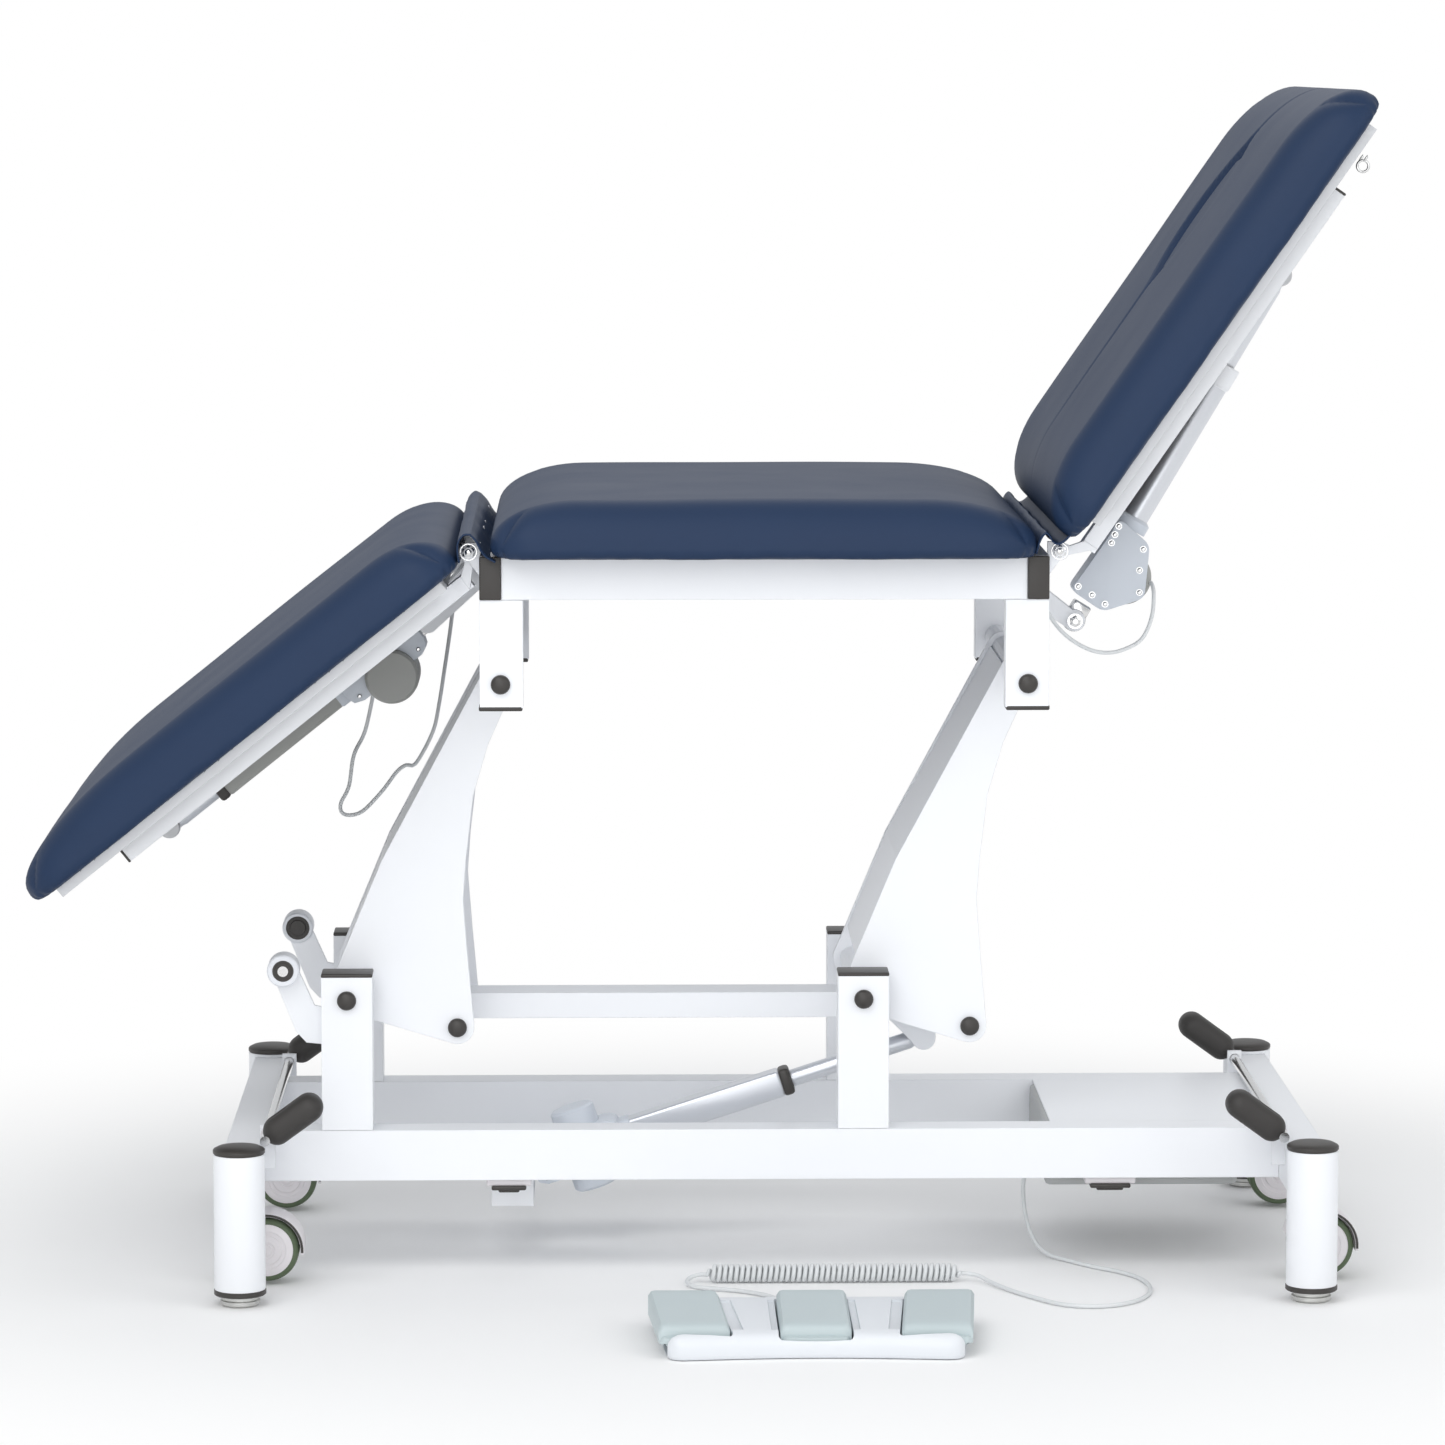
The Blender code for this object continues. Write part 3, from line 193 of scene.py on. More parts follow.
# ---------------------------------------------------------------- materials
def new_material(name, base, roughness, metallic=0.0, coat=0.0, sheen=0.0):
    """A Principled material, made once, and the handles its pattern needs."""
    material = bpy.data.materials.get(name)
    if material:
        return material, None
    material = bpy.data.materials.new(name)
    material.use_nodes = True
    material.diffuse_color = (*base, 1)
    shader = material.node_tree.nodes["Principled BSDF"]
    shader.inputs["Base Color"].default_value = (*base, 1)
    shader.inputs["Roughness"].default_value = roughness
    shader.inputs["Metallic"].default_value = metallic
    shader.inputs["Coat Weight"].default_value = coat
    shader.inputs["Coat Roughness"].default_value = 0.3
    shader.inputs["Sheen Weight"].default_value = sheen
    return material, shader


def pattern(material, shader, base, spread, rough, rough_spread, grain, bump, depth=0.0004, kind="NOISE",
            stretch=(1, 1, 1), edge=0.0):
    """Colour and roughness that drift over the surface, and a fine grain in its normal."""
    nodes, links = material.node_tree.nodes, material.node_tree.links
    where = nodes.new("ShaderNodeTexCoord")
    mapping = nodes.new("ShaderNodeMapping")
    mapping.inputs["Scale"].default_value = stretch
    links.new(where.outputs["Object"], mapping.inputs["Vector"])
    drift = nodes.new("ShaderNodeTexNoise")
    drift.inputs["Scale"].default_value = 9.0
    drift.inputs["Detail"].default_value = 4.0
    links.new(mapping.outputs["Vector"], drift.inputs["Vector"])
    mix = nodes.new("ShaderNodeMix")
    mix.data_type = "RGBA"
    mix.inputs["A"].default_value = (*[channel * (1 - spread) for channel in base], 1)
    mix.inputs["B"].default_value = (*[min(1, channel * (1 + spread)) for channel in base], 1)
    links.new(drift.outputs["Fac"], mix.inputs["Factor"])
    links.new(mix.outputs["Result"], shader.inputs["Base Color"])
    fine = nodes.new("ShaderNodeTexVoronoi" if kind == "LEATHER" else "ShaderNodeTexNoise")
    fine.inputs["Scale"].default_value = grain
    if kind == "LEATHER":
        fine.feature = "SMOOTH_F1"
    else:
        fine.inputs["Detail"].default_value = 3.0
    links.new(mapping.outputs["Vector"], fine.inputs["Vector"])
    spots = fine.outputs["Distance" if kind == "LEATHER" else "Fac"]
    ramp = nodes.new("ShaderNodeMapRange")
    ramp.inputs["To Min"].default_value = max(0.02, rough - rough_spread)
    ramp.inputs["To Max"].default_value = min(1, rough + rough_spread)
    links.new(drift.outputs["Fac"], ramp.inputs["Value"])
    links.new(ramp.outputs["Result"], shader.inputs["Roughness"])
    relief = nodes.new("ShaderNodeBump")
    relief.inputs["Strength"].default_value = bump
    relief.inputs["Distance"].default_value = depth
    links.new(spots, relief.inputs["Height"])
    if edge:
        rounding = nodes.new("ShaderNodeBevel")
        rounding.samples = 4
        rounding.inputs["Radius"].default_value = edge
        links.new(rounding.outputs["Normal"], relief.inputs["Normal"])
    links.new(relief.outputs["Normal"], shader.inputs["Normal"])
    return material


def finish_of(name, base, rough, metallic=0.0, coat=0.0, sheen=0.0, spread=0.03, rough_spread=0.05,
              grain=600.0, bump=0.15, **more):
    material, shader = new_material(name, base, rough, metallic, coat, sheen)
    if shader:
        pattern(material, shader, base, spread, rough, rough_spread, grain, bump, **more)
    return material


def vinyl():
    material = finish_of("navy vinyl", settings("padding").vinyl, 0.50, spread=0.05, grain=900, bump=0.22,
                         depth=0.0003, kind="LEATHER")
    material.node_tree.nodes["Principled BSDF"].inputs["Specular IOR Level"].default_value = 0.20
    return material


def powder_coat():
    metal = settings("metal")
    return finish_of("powder coat", metal.coat, 0.38, spread=0.012, grain=1400, bump=0.06, depth=0.0002,
                     edge=metal.edge)


def black_cap():
    return finish_of("black cap plastic", settings("metal").caps, 0.42, spread=0.10, grain=1800, bump=0.12,
                     edge=0.0008)


def pedal_rubber():
    return finish_of("moulded pedal rubber", (0.034, 0.031, 0.029), 0.55, spread=0.2, rough_spread=0.1,
                     grain=1500, bump=0.3, kind="LEATHER")


def gear_case():
    return finish_of("gear case plastic", (0.62, 0.66, 0.72), 0.42, spread=0.02, grain=1600, bump=0.10)


# Motor cover grey: partly the plastic's own grey, partly painted shade. It is made darker for the foot
# actuator's motor, which lies in shadow.
def motor_grey_and_painted_shade():
    return finish_of("motor cover plastic", (0.36, 0.365, 0.35), 0.5, spread=0.04, grain=1600, bump=0.15)


def aluminium():
    return finish_of("anodised aluminium", (0.70, 0.72, 0.76), 0.33, metallic=0.85, spread=0.03, grain=500,
                     bump=0.08, stretch=(1, 60, 60))


def bright_steel():
    return finish_of("bright plated steel", (0.72, 0.72, 0.72), 0.18, metallic=1.0, spread=0.08,
                     rough_spread=0.08, grain=700, bump=0.10)


def worn_steel():
    return finish_of("turned steel", (0.62, 0.62, 0.60), 0.30, metallic=1.0, spread=0.14, rough_spread=0.12,
                     grain=300, bump=0.4, stretch=(1, 1, 30))


def tyre_green():
    return finish_of("castor tyre", (0.085, 0.120, 0.065), 0.55, spread=0.08, grain=1500, bump=0.15)


def hub_white():
    return finish_of("castor hub plastic", (0.76, 0.73, 0.75), 0.35, spread=0.02, grain=1500, bump=0.05)


def roller_white():
    return finish_of("roller nylon", (0.74, 0.76, 0.80), 0.4, spread=0.03, grain=1500, bump=0.08)


def control_white():
    return finish_of("control housing plastic", settings("control").housing, 0.36, spread=0.012, grain=2000,
                     bump=0.12)


def treadle_blue():
    return finish_of("control pad plastic", settings("control").treadle, 0.40, spread=0.02, grain=1700,
                     bump=0.25, kind="LEATHER")


def cord_grey():
    return finish_of("cord sheath", settings("control").cord, 0.38, spread=0.03, grain=1200, bump=0.08)


def board_laminate():
    return finish_of("white board laminate", (0.70, 0.71, 0.73), 0.5, spread=0.03, grain=900, bump=0.12,
                     edge=0.001)


def box_grey():
    return finish_of("control box plastic", (0.43, 0.44, 0.44), 0.5, spread=0.03, grain=1600, bump=0.18,
                     edge=0.001)


def under_cloth():
    return finish_of("black lining cloth", (0.022, 0.022, 0.024), 0.9, sheen=0.2, spread=0.15, grain=1100,
                     bump=0.5)


# ---------------------------------------------------------------- shapes
def new_piece(name, bm, where, material, body, smooth=True, angle=40):
    """A finished piece: its mesh is put in place, its object stays at the origin, and it rides a body."""
    bmesh.ops.remove_doubles(bm, verts=bm.verts, dist=1e-6)
    bm.transform(where)
    bmesh.ops.recalc_face_normals(bm, faces=bm.faces)
    mesh = bpy.data.meshes.new(name)
    bm.to_mesh(mesh)
    bm.free()
    for each in material if isinstance(material, (list, tuple)) else [material]:
        mesh.materials.append(each)
    if smooth:
        mesh.shade_smooth()
        mesh.set_sharp_from_angle(angle=math.radians(angle))
    obj = bpy.data.objects.new(name, mesh)
    bpy.context.collection.objects.link(obj)
    if body:
        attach(obj, body)
    return obj


def join(target, *others):
    """Adds other bmeshes to the target."""
    for other in others:
        mesh = bpy.data.meshes.new("join")
        other.to_mesh(mesh)
        other.free()
        target.from_mesh(mesh)
        bpy.data.meshes.remove(mesh)
    return target


def tinted(bm, index):
    for face in bm.faces:
        face.material_index = index
    return bm


def moved(bm, matrix):
    bm.transform(matrix)
    return bm


def arc(a, b, r, steps, start=0.0, sweep=math.tau):
    whole = abs(sweep - math.tau) < 1e-9
    turns = [start + sweep * i / steps for i in range(steps + (not whole))]
    return [(a + r * math.cos(turn), b + r * math.sin(turn)) for turn in turns]


def wall(bm, one, two):
    """Joins two closed rings of as many points."""
    for i in range(len(one)):
        j = (i + 1) % len(one)
        bm.faces.new((one[i], one[j], two[j], two[i]))


def skin(bm, table):
    """Joins rows of points as one sheet."""
    for one, two in zip(table, table[1:]):
        for a, b, c, d in zip(one, two, two[1:], one[1:]):
            bm.faces.new((a, b, c, d))


def rim_of(table):
    """The points round a sheet's edge, in order."""
    sides = [row[-1] for row in table[1:]], [row[0] for row in table[-2:0:-1]]
    return table[0][:] + sides[0] + table[-1][-2::-1] + sides[1]


def slab(outline, low_y, high_y, round_by=0.001, steps=2):
    """An outline in X and Z pushed along Y, with its rims rounded."""
    bm = bmesh.new()
    near = [bm.verts.new((a, low_y, b)) for a, b in outline]
    far = [bm.verts.new((a, high_y, b)) for a, b in outline]
    bm.faces.new(near)
    bm.faces.new(far[::-1])
    wall(bm, near, far)
    bmesh.ops.recalc_face_normals(bm, faces=bm.faces)
    if round_by:
        rims = [e for e in bm.edges if abs(e.verts[0].co.y - e.verts[1].co.y) < 1e-7]
        bmesh.ops.bevel(bm, geom=rims, offset=round_by, segments=steps, affect="EDGES", profile=0.5,
                        clamp_overlap=True)
    return bm


def soft_box(x0, x1, y0, y1, z0, z1, round_by=0.002, steps=3):
    bm = bmesh.new()
    bmesh.ops.create_cube(bm, size=1.0)
    extent, centre = Vector((x1 - x0, y1 - y0, z1 - z0)), Vector((x0 + x1, y0 + y1, z0 + z1)) / 2
    for vert in bm.verts:
        vert.co = Vector(a * b for a, b in zip(vert.co, extent)) + centre
    bmesh.ops.bevel(bm, geom=bm.edges[:], offset=round_by, segments=steps, affect="EDGES", profile=0.5)
    return bm


def lathe(profile, steps=40, axis="Z"):
    """A closed turned shape from (radius, height, material) points, pole to pole."""
    bm = bmesh.new()
    rings = []
    for r, h, _ in profile:
        spots = [(0, 0)] if r == 0 else arc(0, 0, r, steps)
        rings.append([bm.verts.new((a, b, h)) for a, b in spots])
    for (one, two), (_, _, index) in zip(zip(rings, rings[1:]), profile[1:]):
        for i in range(steps):
            j = (i + 1) % steps
            corners = dict.fromkeys([one[i % len(one)], one[j % len(one)], two[j % len(two)],
                                     two[i % len(two)]])
            bm.faces.new(list(corners)).material_index = index
    if axis == "Y":
        bm.transform(Matrix.Rotation(math.radians(-90), 4, "X"))
    if axis == "X":
        bm.transform(Matrix.Rotation(math.radians(90), 4, "Y"))
    bmesh.ops.recalc_face_normals(bm, faces=bm.faces)
    return bm


def tube_along(points, r, steps=10):
    """A round closed tube along points."""
    bm = bmesh.new()
    points = [Vector(p) for p in points]
    tangent = (points[1] - points[0]).normalized()
    side = tangent.orthogonal().normalized()
    rings = []
    for i, point in enumerate(points):
        ahead = (points[min(i + 1, len(points) - 1)] - points[max(i - 1, 0)]).normalized()
        side = (side - ahead * side.dot(ahead)).normalized()
        up = ahead.cross(side)
        rings.append([bm.verts.new(point + side * a + up * b) for a, b in arc(0, 0, r, steps)])
    for one, two in zip(rings, rings[1:]):
        wall(bm, one, two)
    bm.faces.new(rings[0][::-1])
    bm.faces.new(rings[-1])
    return bm


def spline_through(points, spacing):
    """Points a spacing apart on one smooth curve through the route's own points."""
    spots = [Vector(p) for p in points]
    spots = [spots[0] * 2 - spots[1]] + spots + [spots[-1] * 2 - spots[-2]]
    fine = []
    for a, b, c, d in zip(spots, spots[1:], spots[2:], spots[3:]):
        for i in range(16):
            t = i / 16
            fine.append(0.5 * (2 * b + (c - a) * t + (2 * a - 5 * b + 4 * c - d) * t * t
                               + (3 * b - a - 3 * c + d) * t**3))
    fine.append(spots[-2])
    total = sum((q - p).length for p, q in zip(fine, fine[1:]))
    count = max(2, round(total / spacing))
    route, walked = [fine[0]], 0.0
    for p, q in zip(fine, fine[1:]):
        run = (q - p).length
        while len(route) < count and walked + run >= total / count * len(route):
            route.append(p.lerp(q, (total / count * len(route) - walked) / run))
        walked += run
    return route + [fine[-1]]


# ---------------------------------------------------------------- repeats
def repeat_tree(name, material):
    """Geometry Nodes that set one small piece on each point of a mesh, turned by its own 'turn' attribute."""
    tree = bpy.data.node_groups.new(name, "GeometryNodeTree")
    tree.interface.new_socket("Points", in_out="INPUT", socket_type="NodeSocketGeometry")
    tree.interface.new_socket("Head", in_out="INPUT", socket_type="NodeSocketObject")
    across = tree.interface.new_socket("Size", in_out="INPUT", socket_type="NodeSocketFloat")
    across.default_value = 1.0
    tree.interface.new_socket("Result", in_out="OUTPUT", socket_type="NodeSocketGeometry")
    nodes, links = tree.nodes, tree.links
    start, end = nodes.new("NodeGroupInput"), nodes.new("NodeGroupOutput")
    head = nodes.new("GeometryNodeObjectInfo")
    head.transform_space = "ORIGINAL"
    head.inputs["As Instance"].default_value = True
    turn = nodes.new("GeometryNodeInputNamedAttribute")
    turn.data_type = "FLOAT_VECTOR"
    turn.inputs["Name"].default_value = "turn"
    to_points = nodes.new("GeometryNodeMeshToPoints")
    spread = nodes.new("GeometryNodeInstanceOnPoints")
    real = nodes.new("GeometryNodeRealizeInstances")
    paint = nodes.new("GeometryNodeSetMaterial")
    paint.inputs["Material"].default_value = material
    links.new(start.outputs["Points"], to_points.inputs["Mesh"])
    links.new(to_points.outputs["Points"], spread.inputs["Points"])
    links.new(start.outputs["Head"], head.inputs["Object"])
    links.new(head.outputs["Geometry"], spread.inputs["Instance"])
    links.new(turn.outputs["Attribute"], spread.inputs["Rotation"])
    links.new(start.outputs["Size"], spread.inputs["Scale"])
    links.new(spread.outputs["Instances"], real.inputs["Geometry"])
    links.new(real.outputs["Geometry"], paint.inputs["Geometry"])
    links.new(paint.outputs["Geometry"], end.inputs["Result"])
    return tree


def repeated(name, head, spots, material, body, scale=1.0):
    """One piece made of a small head at each (point, direction) spot. A head stands along +Z."""
    source_mesh = bpy.data.meshes.new(f"{name}_head")
    bmesh.ops.recalc_face_normals(head, faces=head.faces)
    head.to_mesh(source_mesh)
    head.free()
    source = bpy.data.objects.new(f"{name}_head", source_mesh)
    points = bpy.data.meshes.new(f"{name}_points")
    points.from_pydata([tuple(point) for point, _ in spots], [], [])
    turn = points.attributes.new("turn", "FLOAT_VECTOR", "POINT")
    for item, (_, direction) in zip(turn.data, spots):
        item.vector = Vector(direction).to_track_quat("Z", "X").to_euler()
    carrier = bpy.data.objects.new(f"{name}_carrier", points)
    bpy.context.collection.objects.link(carrier)
    tree = repeat_tree(f"{name} layout", material)
    modifier = carrier.modifiers.new("layout", "NODES")
    modifier.node_group = tree
    sockets = {item.name: item.identifier for item in tree.interface.items_tree if item.in_out == "INPUT"}
    modifier[sockets["Head"]] = source
    modifier[sockets["Size"]] = scale
    bpy.context.view_layer.update()
    graph = bpy.context.evaluated_depsgraph_get()
    mesh = bpy.data.meshes.new_from_object(carrier.evaluated_get(graph))
    carrier.modifiers.remove(modifier)
    bpy.data.objects.remove(carrier)
    bpy.data.objects.remove(source)
    bpy.data.node_groups.remove(tree)
    mesh.name = name
    mesh.shade_smooth()
    mesh.set_sharp_from_angle(angle=math.radians(40))
    obj = bpy.data.objects.new(name, mesh)
    bpy.context.collection.objects.link(obj)
    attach(obj, body)
    return obj


def dome_head(r, h, steps=24):
    """A smooth domed cap standing on its base."""
    rows = [(0, -0.0004, 0), (r, -0.0004, 0), (r, 0.25 * h, 0)]
    rows += [(r * math.cos(t), h * (0.25 + 0.75 * math.sin(t)), 0)
             for t in [math.radians(a) for a in (18, 36, 54, 72)]]
    return lathe(rows + [(0, h, 0)], steps)


def socket_head(r, h, steps=24):
    """A button-head screw with a hexagon socket, over a thin washer."""
    rows = [(0, 0, 0), (1.35 * r, 0, 0), (1.35 * r, 0.18 * h, 0), (r, 0.18 * h, 0), (r, 0.5 * h, 0),
            (0.8 * r, 0.85 * h, 0)]
    rows += [(0.5 * r, h, 0), (0.46 * r, 0.98 * h, 0), (0.46 * r, 0.4 * h, 0), (0, 0.4 * h, 0)]
    return lathe(rows, steps)


def hex_head(r, h):
    """A hexagon bolt head over a washer."""
    washer = lathe([(0, 0, 0), (1.25 * r, 0, 0), (1.25 * r, 0.2 * h, 0), (0, 0.2 * h, 0)], 24)
    nut = lathe([(0, 0.2 * h, 0), (r, 0.2 * h, 0), (r, 0.85 * h, 0), (0.86 * r, h, 0), (0, h, 0)], 6)
    stud = lathe([(0, 0.9 * h, 0), (0.5 * r, 0.9 * h, 0), (0.5 * r, 1.25 * h, 0), (0.42 * r, 1.35 * h, 0),
                  (0, 1.35 * h, 0)], 16)
    return join(washer, nut, stud)


# ---------------------------------------------------------------- padding
def grid_lines(half, start_round, end_round, step):
    """Positions from -half to half that crowd toward both edges, where the surface turns down."""
    steps = [1 - math.cos(math.radians(6 * i)) for i in range(15)]
    flat_start, flat_end = -half + start_round, half - end_round
    count = max(2, round((flat_end - flat_start) / step))
    flat = [flat_start + (flat_end - flat_start) * i / count for i in range(count + 1)]
    return [-half + start_round * s for s in steps] + flat + [half - end_round * s for s in reversed(steps)]


def fall(reach, radius):
    """A quarter ellipse: 0 on the edge, 1 where the top begins."""
    return math.sqrt(1 - (1 - max(0.0, min(1.0, reach / radius))) ** 2)


def round_corner(x, y, half_x, half_y, corner):
    """Draws a square corner's grid onto a round one."""
    a, b = abs(x) - (half_x - corner), abs(y) - (half_y - corner)
    if a <= 0 or b <= 0:
        return x, y
    reach = max(a, b) / math.hypot(a, b)
    return math.copysign(half_x - corner + a * reach, x), math.copysign(half_y - corner + b * reach, y)


def lens(u, v, start, end, half):
    """Where a point lies on the slot's lens: 0 at its middle, 1 on its outline, over 1 outside."""
    along = (u - (start + end) / 2) / ((end - start) / 2)
    across = abs(v) / half
    return across + along * along


SIDE_ROWS = ((0.22, -0.0006, 0.1), (0.45, -0.0002, 0.35), (0.66, 0.0012, 0.6), (0.84, 0.0035, 0.9),
             (0.95, 0.0075, 1.0))
UNDER_ROW = (1.0, 0.045, 0.3)      # share of the side's depth, tuck, and how much the gathers show


def pad_mesh(u0, u1, half_w, low_w, high_w, look, ends, corner=0.050, slot=None, wave=0.0011, seed=0.0):
    """A padded board's cover: crowned, rounded over its sides and gathered at its corners."""
    bm = bmesh.new()
    half_u, mid_u = (u1 - u0) / 2, (u0 + u1) / 2
    us = grid_lines(half_u, *ends, look.grid)
    vs = grid_lines(half_w, look.side_round, look.side_round, look.grid)
    band = low_w + 0.22 * (high_w - low_w)
    rise = high_w - look.crown - band

    def top(x, y):
        edge = fall(half_u + x, ends[0]) * fall(half_u - x, ends[1]) * fall(half_w - abs(y), look.side_round)
        w = band + rise * edge
        w += look.crown * (1 - (x / half_u) ** 2) * (1 - (y / half_w) ** 2)
        w += 0.0006 * math.sin(17 * x + 9 * y + seed) * math.sin(13 * y - 5 * x + 2 * seed) * edge
        if slot:
            start, end, half = slot
            u = mid_u + x
            q = lens(u, y, start, end, half)
            w -= 0.0125 * math.exp(-(((q - 1.04) / 0.12) ** 2)) if q > 1.04 else 0.0125
            past = max(start - u, u - end, 0.0)
            if past > 0:
                w -= 0.0045 * math.exp(-((y / 0.006) ** 2)) * max(0.0, 1 - past / 0.30)
        return w

    table = []
    for x in us:
        row = []
        for y in vs:
            a, b = round_corner(x, y, half_u, half_w, corner)
            row.append(bm.verts.new((mid_u + a, b, top(x, y))))
        table.append(row)
    skin(bm, table)
    ring = rim_of(table)
    previous = ring
    depth = band - low_w
    for drop, tuck, ruck in (*SIDE_ROWS, (1.0, look.under_tuck, 1.0), UNDER_ROW):
        level_ring = []
        walked, last = 0.0, ring[0].co.copy()
        for vert in ring:
            walked += (vert.co - last).length
            last = vert.co.copy()
            x, y = vert.co.x - mid_u, vert.co.y
            ax, ay = max(abs(x) - (half_u - corner), 0), max(abs(y) - (half_w - corner), 0)
            turn = math.atan2(ay, ax)
            if ax and ay:
                give = ruck * 0.0030 * (math.sin(turn * 10) ** 2 - 0.4)
                out = Vector((math.copysign(ax, x), math.copysign(ay, y), 0))
            else:
                give = ruck * wave * math.sin(walked * 170 + 2 * math.sin(walked * 23 + seed))
                on_end = half_u - abs(x) < half_w - abs(y)
                out = Vector((math.copysign(1, x), 0, 0) if on_end else (0, math.copysign(1, y), 0))
            out.normalize()
            spot = Vector((vert.co.x, vert.co.y, 0)) - out * (tuck + give)
            sag = 0.0016 * math.sin(walked * 31 + seed) * drop if drop < 1 else 0
            level_ring.append(bm.verts.new((spot.x, spot.y, band - depth * drop + sag * 0.5)))
        wall(bm, previous, level_ring)
        previous = level_ring
    bm.faces.new(previous)
    return bm


class COUCH_OT_pads(Operator):
    """Makes the three cushions' covers, with their crown, gathers and the back's slot."""

    bl_idname = "couch.pads"
    bl_label = "Cushions"

    def execute(self, context):
        look = settings("padding")
        cover = vinyl()
        seat_low, seat_high = low("seat_cushion"), high("seat_cushion")
        half = (seat_high.y - seat_low.y) / 2
        low_w, high_w = seat_low.z - BACK_HINGE.z, seat_high.z - BACK_HINGE.z
        bm = pad_mesh(seat_low.x, seat_high.x, half, low_w, high_w, look, (0.105, 0.130), seed=1.0)
        seat = new_piece("seat_cover", bm, SEAT_FRAME, cover, "upper_frame", angle=75)
        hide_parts("seat_cushion")
        slot = (look.slot_start, look.slot_end, look.slot_half)
        bm = pad_mesh(*BACK_SPAN, half, PAD_LOW, PAD_HIGH, look, (0.095, 0.110), slot=slot, seed=2.0)
        back = new_piece("back_cover", bm, BACK_FRAME, cover, "back_section", angle=75)
        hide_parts("back_cushion")
        bm = pad_mesh(*FOOT_SPAN, half, PAD_LOW, PAD_HIGH, look, (0.080, 0.175), seed=3.0)
        foot = new_piece("foot_cover", bm, FOOT_FRAME, cover, "foot_section", angle=75)
        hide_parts("foot_cushion")
        plug = new_piece("back_slot_insert", self.insert(look), BACK_FRAME, cover, "back_section",
                         angle=60)
        return {"FINISHED"}

    @staticmethod
    def insert(look):
        """The plump lens that fills the breathing slot."""
        columns, rows = 40, 20
        middle_u, half_u = (look.slot_start + look.slot_end) / 2, (look.slot_end - look.slot_start) / 2
        crown = PAD_HIGH - look.crown
        bm = bmesh.new()
        table = []
        for i in range(columns + 1):
            along = 2 * i / columns - 1
            reach = look.slot_half * (1 - along * along)
            row = []
            for j in range(rows + 1):
                across = 2 * j / rows - 1
                edge = min(1.0, (1 - abs(across)) / 0.22) if reach > 0.001 else 0
                plump = math.sqrt(max(0.0, 1 - (1 - edge) ** 2)) * min(1.0, 4 * (1 - abs(along)))
                row.append(bm.verts.new((middle_u + along * half_u, across * reach,
                                         crown - 0.0100 + 0.0085 * plump)))
            table.append(row)
        skin(bm, table)
        rim = rim_of(table)
        under = [bm.verts.new((v.co.x, v.co.y * 0.96, crown - 0.018)) for v in rim]
        wall(bm, rim, under)
        bm.faces.new(under)
        return bm


def flap_mesh(near, far, half, rows=46):
    """A cloth strip whose section changes from its near end to its far end."""
    near, far = [spline_section(points, 40) for points in (near, far)]
    bm = bmesh.new()
    table = []
    for i in range(rows + 1):
        t = i / rows
        y = -half + 2 * half * t
        row = []
        for j, (a, b) in enumerate(zip(near, far)):
            spot = a.lerp(b, t)
            hang = math.sin(math.pi * j / (len(near) - 1))
            ripple = 0.0005 * hang * (math.sin(y * 41 + 1) + 0.6 * math.sin(y * 87 + 0.5 * j / 9))
            row.append(bm.verts.new((spot.x + ripple, y, spot.z + 0.6 * ripple)))
        table.append(row)
    skin(bm, table)
    return bm


def spline_section(points, count):
    route = spline_through([(x, 0, z) for x, z in points], 0.0008)
    picks = [route[round(i * (len(route) - 1) / (count - 1))] for i in range(count)]
    return [Vector((p.x, 0, p.z)) for p in picks]


def section_length(points):
    route = spline_through([(x, 0, z) for x, z in points], 0.0008)
    return sum((b - a).length for a, b in zip(route, route[1:]))


FLAP_SEAT_NEAR = [(-0.3505, 0.8878), (-0.3435, 0.8800), (-0.3385, 0.8700), (-0.3320, 0.8620),
                  (-0.3215, 0.8560)]
FLAP_SEAT_FAR = [(-0.3505, 0.8878), (-0.3430, 0.8790), (-0.3370, 0.8690), (-0.3310, 0.8620),
                 (-0.3215, 0.8560)]
FLAP_FOOT_NEAR = [(-0.3505, 0.8878), (-0.3590, 0.8868), (-0.3655, 0.8775), (-0.3660, 0.8640),
                  (-0.3640, 0.8545)]
FLAP_FOOT_FAR = [(-0.3505, 0.8878), (-0.3590, 0.8900), (-0.3675, 0.8800), (-0.3670, 0.8640),
                 (-0.3640, 0.8545)]
FLAP_BACK = [(0.2970, 0.8640), (0.2995, 0.8740), (0.3040, 0.8840), (0.3090, 0.8885), (0.3135, 0.8850),
             (0.3175, 0.8780), (0.3235, 0.8760), (0.3305, 0.8800), (0.3370, 0.8870)]


class COUCH_OT_flaps(Operator):
    """Makes the vinyl strips that close the gaps between the seat and the two moving sections."""

    bl_idname = "couch.flaps"
    bl_label = "Gap strips"

    def execute(self, context):
        cover = vinyl()
        half = 0.318
        shift = place(0, 0, 0)
        plans = (
            ("gap_strip_seat_side", FLAP_SEAT_NEAR, FLAP_SEAT_FAR, "foot_swing", "upper_frame",
             (-0.3505, 0.8878), (-0.3250, 0.8580)),
            ("gap_strip_foot_side", FLAP_FOOT_NEAR, FLAP_FOOT_FAR, "foot_swing", "foot_section",
             (-0.3505, 0.8878), (-0.3640, 0.8560)),
            ("gap_strip_back", FLAP_BACK, FLAP_BACK, "upper_frame", "back_section", (0.3060, 0.8800),
             (0.3340, 0.8800)),
        )
        for name, near, far, start_body, end_body, start, end in plans:
            bm = flap_mesh(near, far, half)
            obj = new_piece(name, bm, level(shift), cover, None, angle=80)
            obj.modifiers.new("thickness", "SOLIDIFY").thickness = 0.0016
            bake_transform(obj)
            cut = (section_length(near) + section_length(far)) / 2
        return {"FINISHED"}


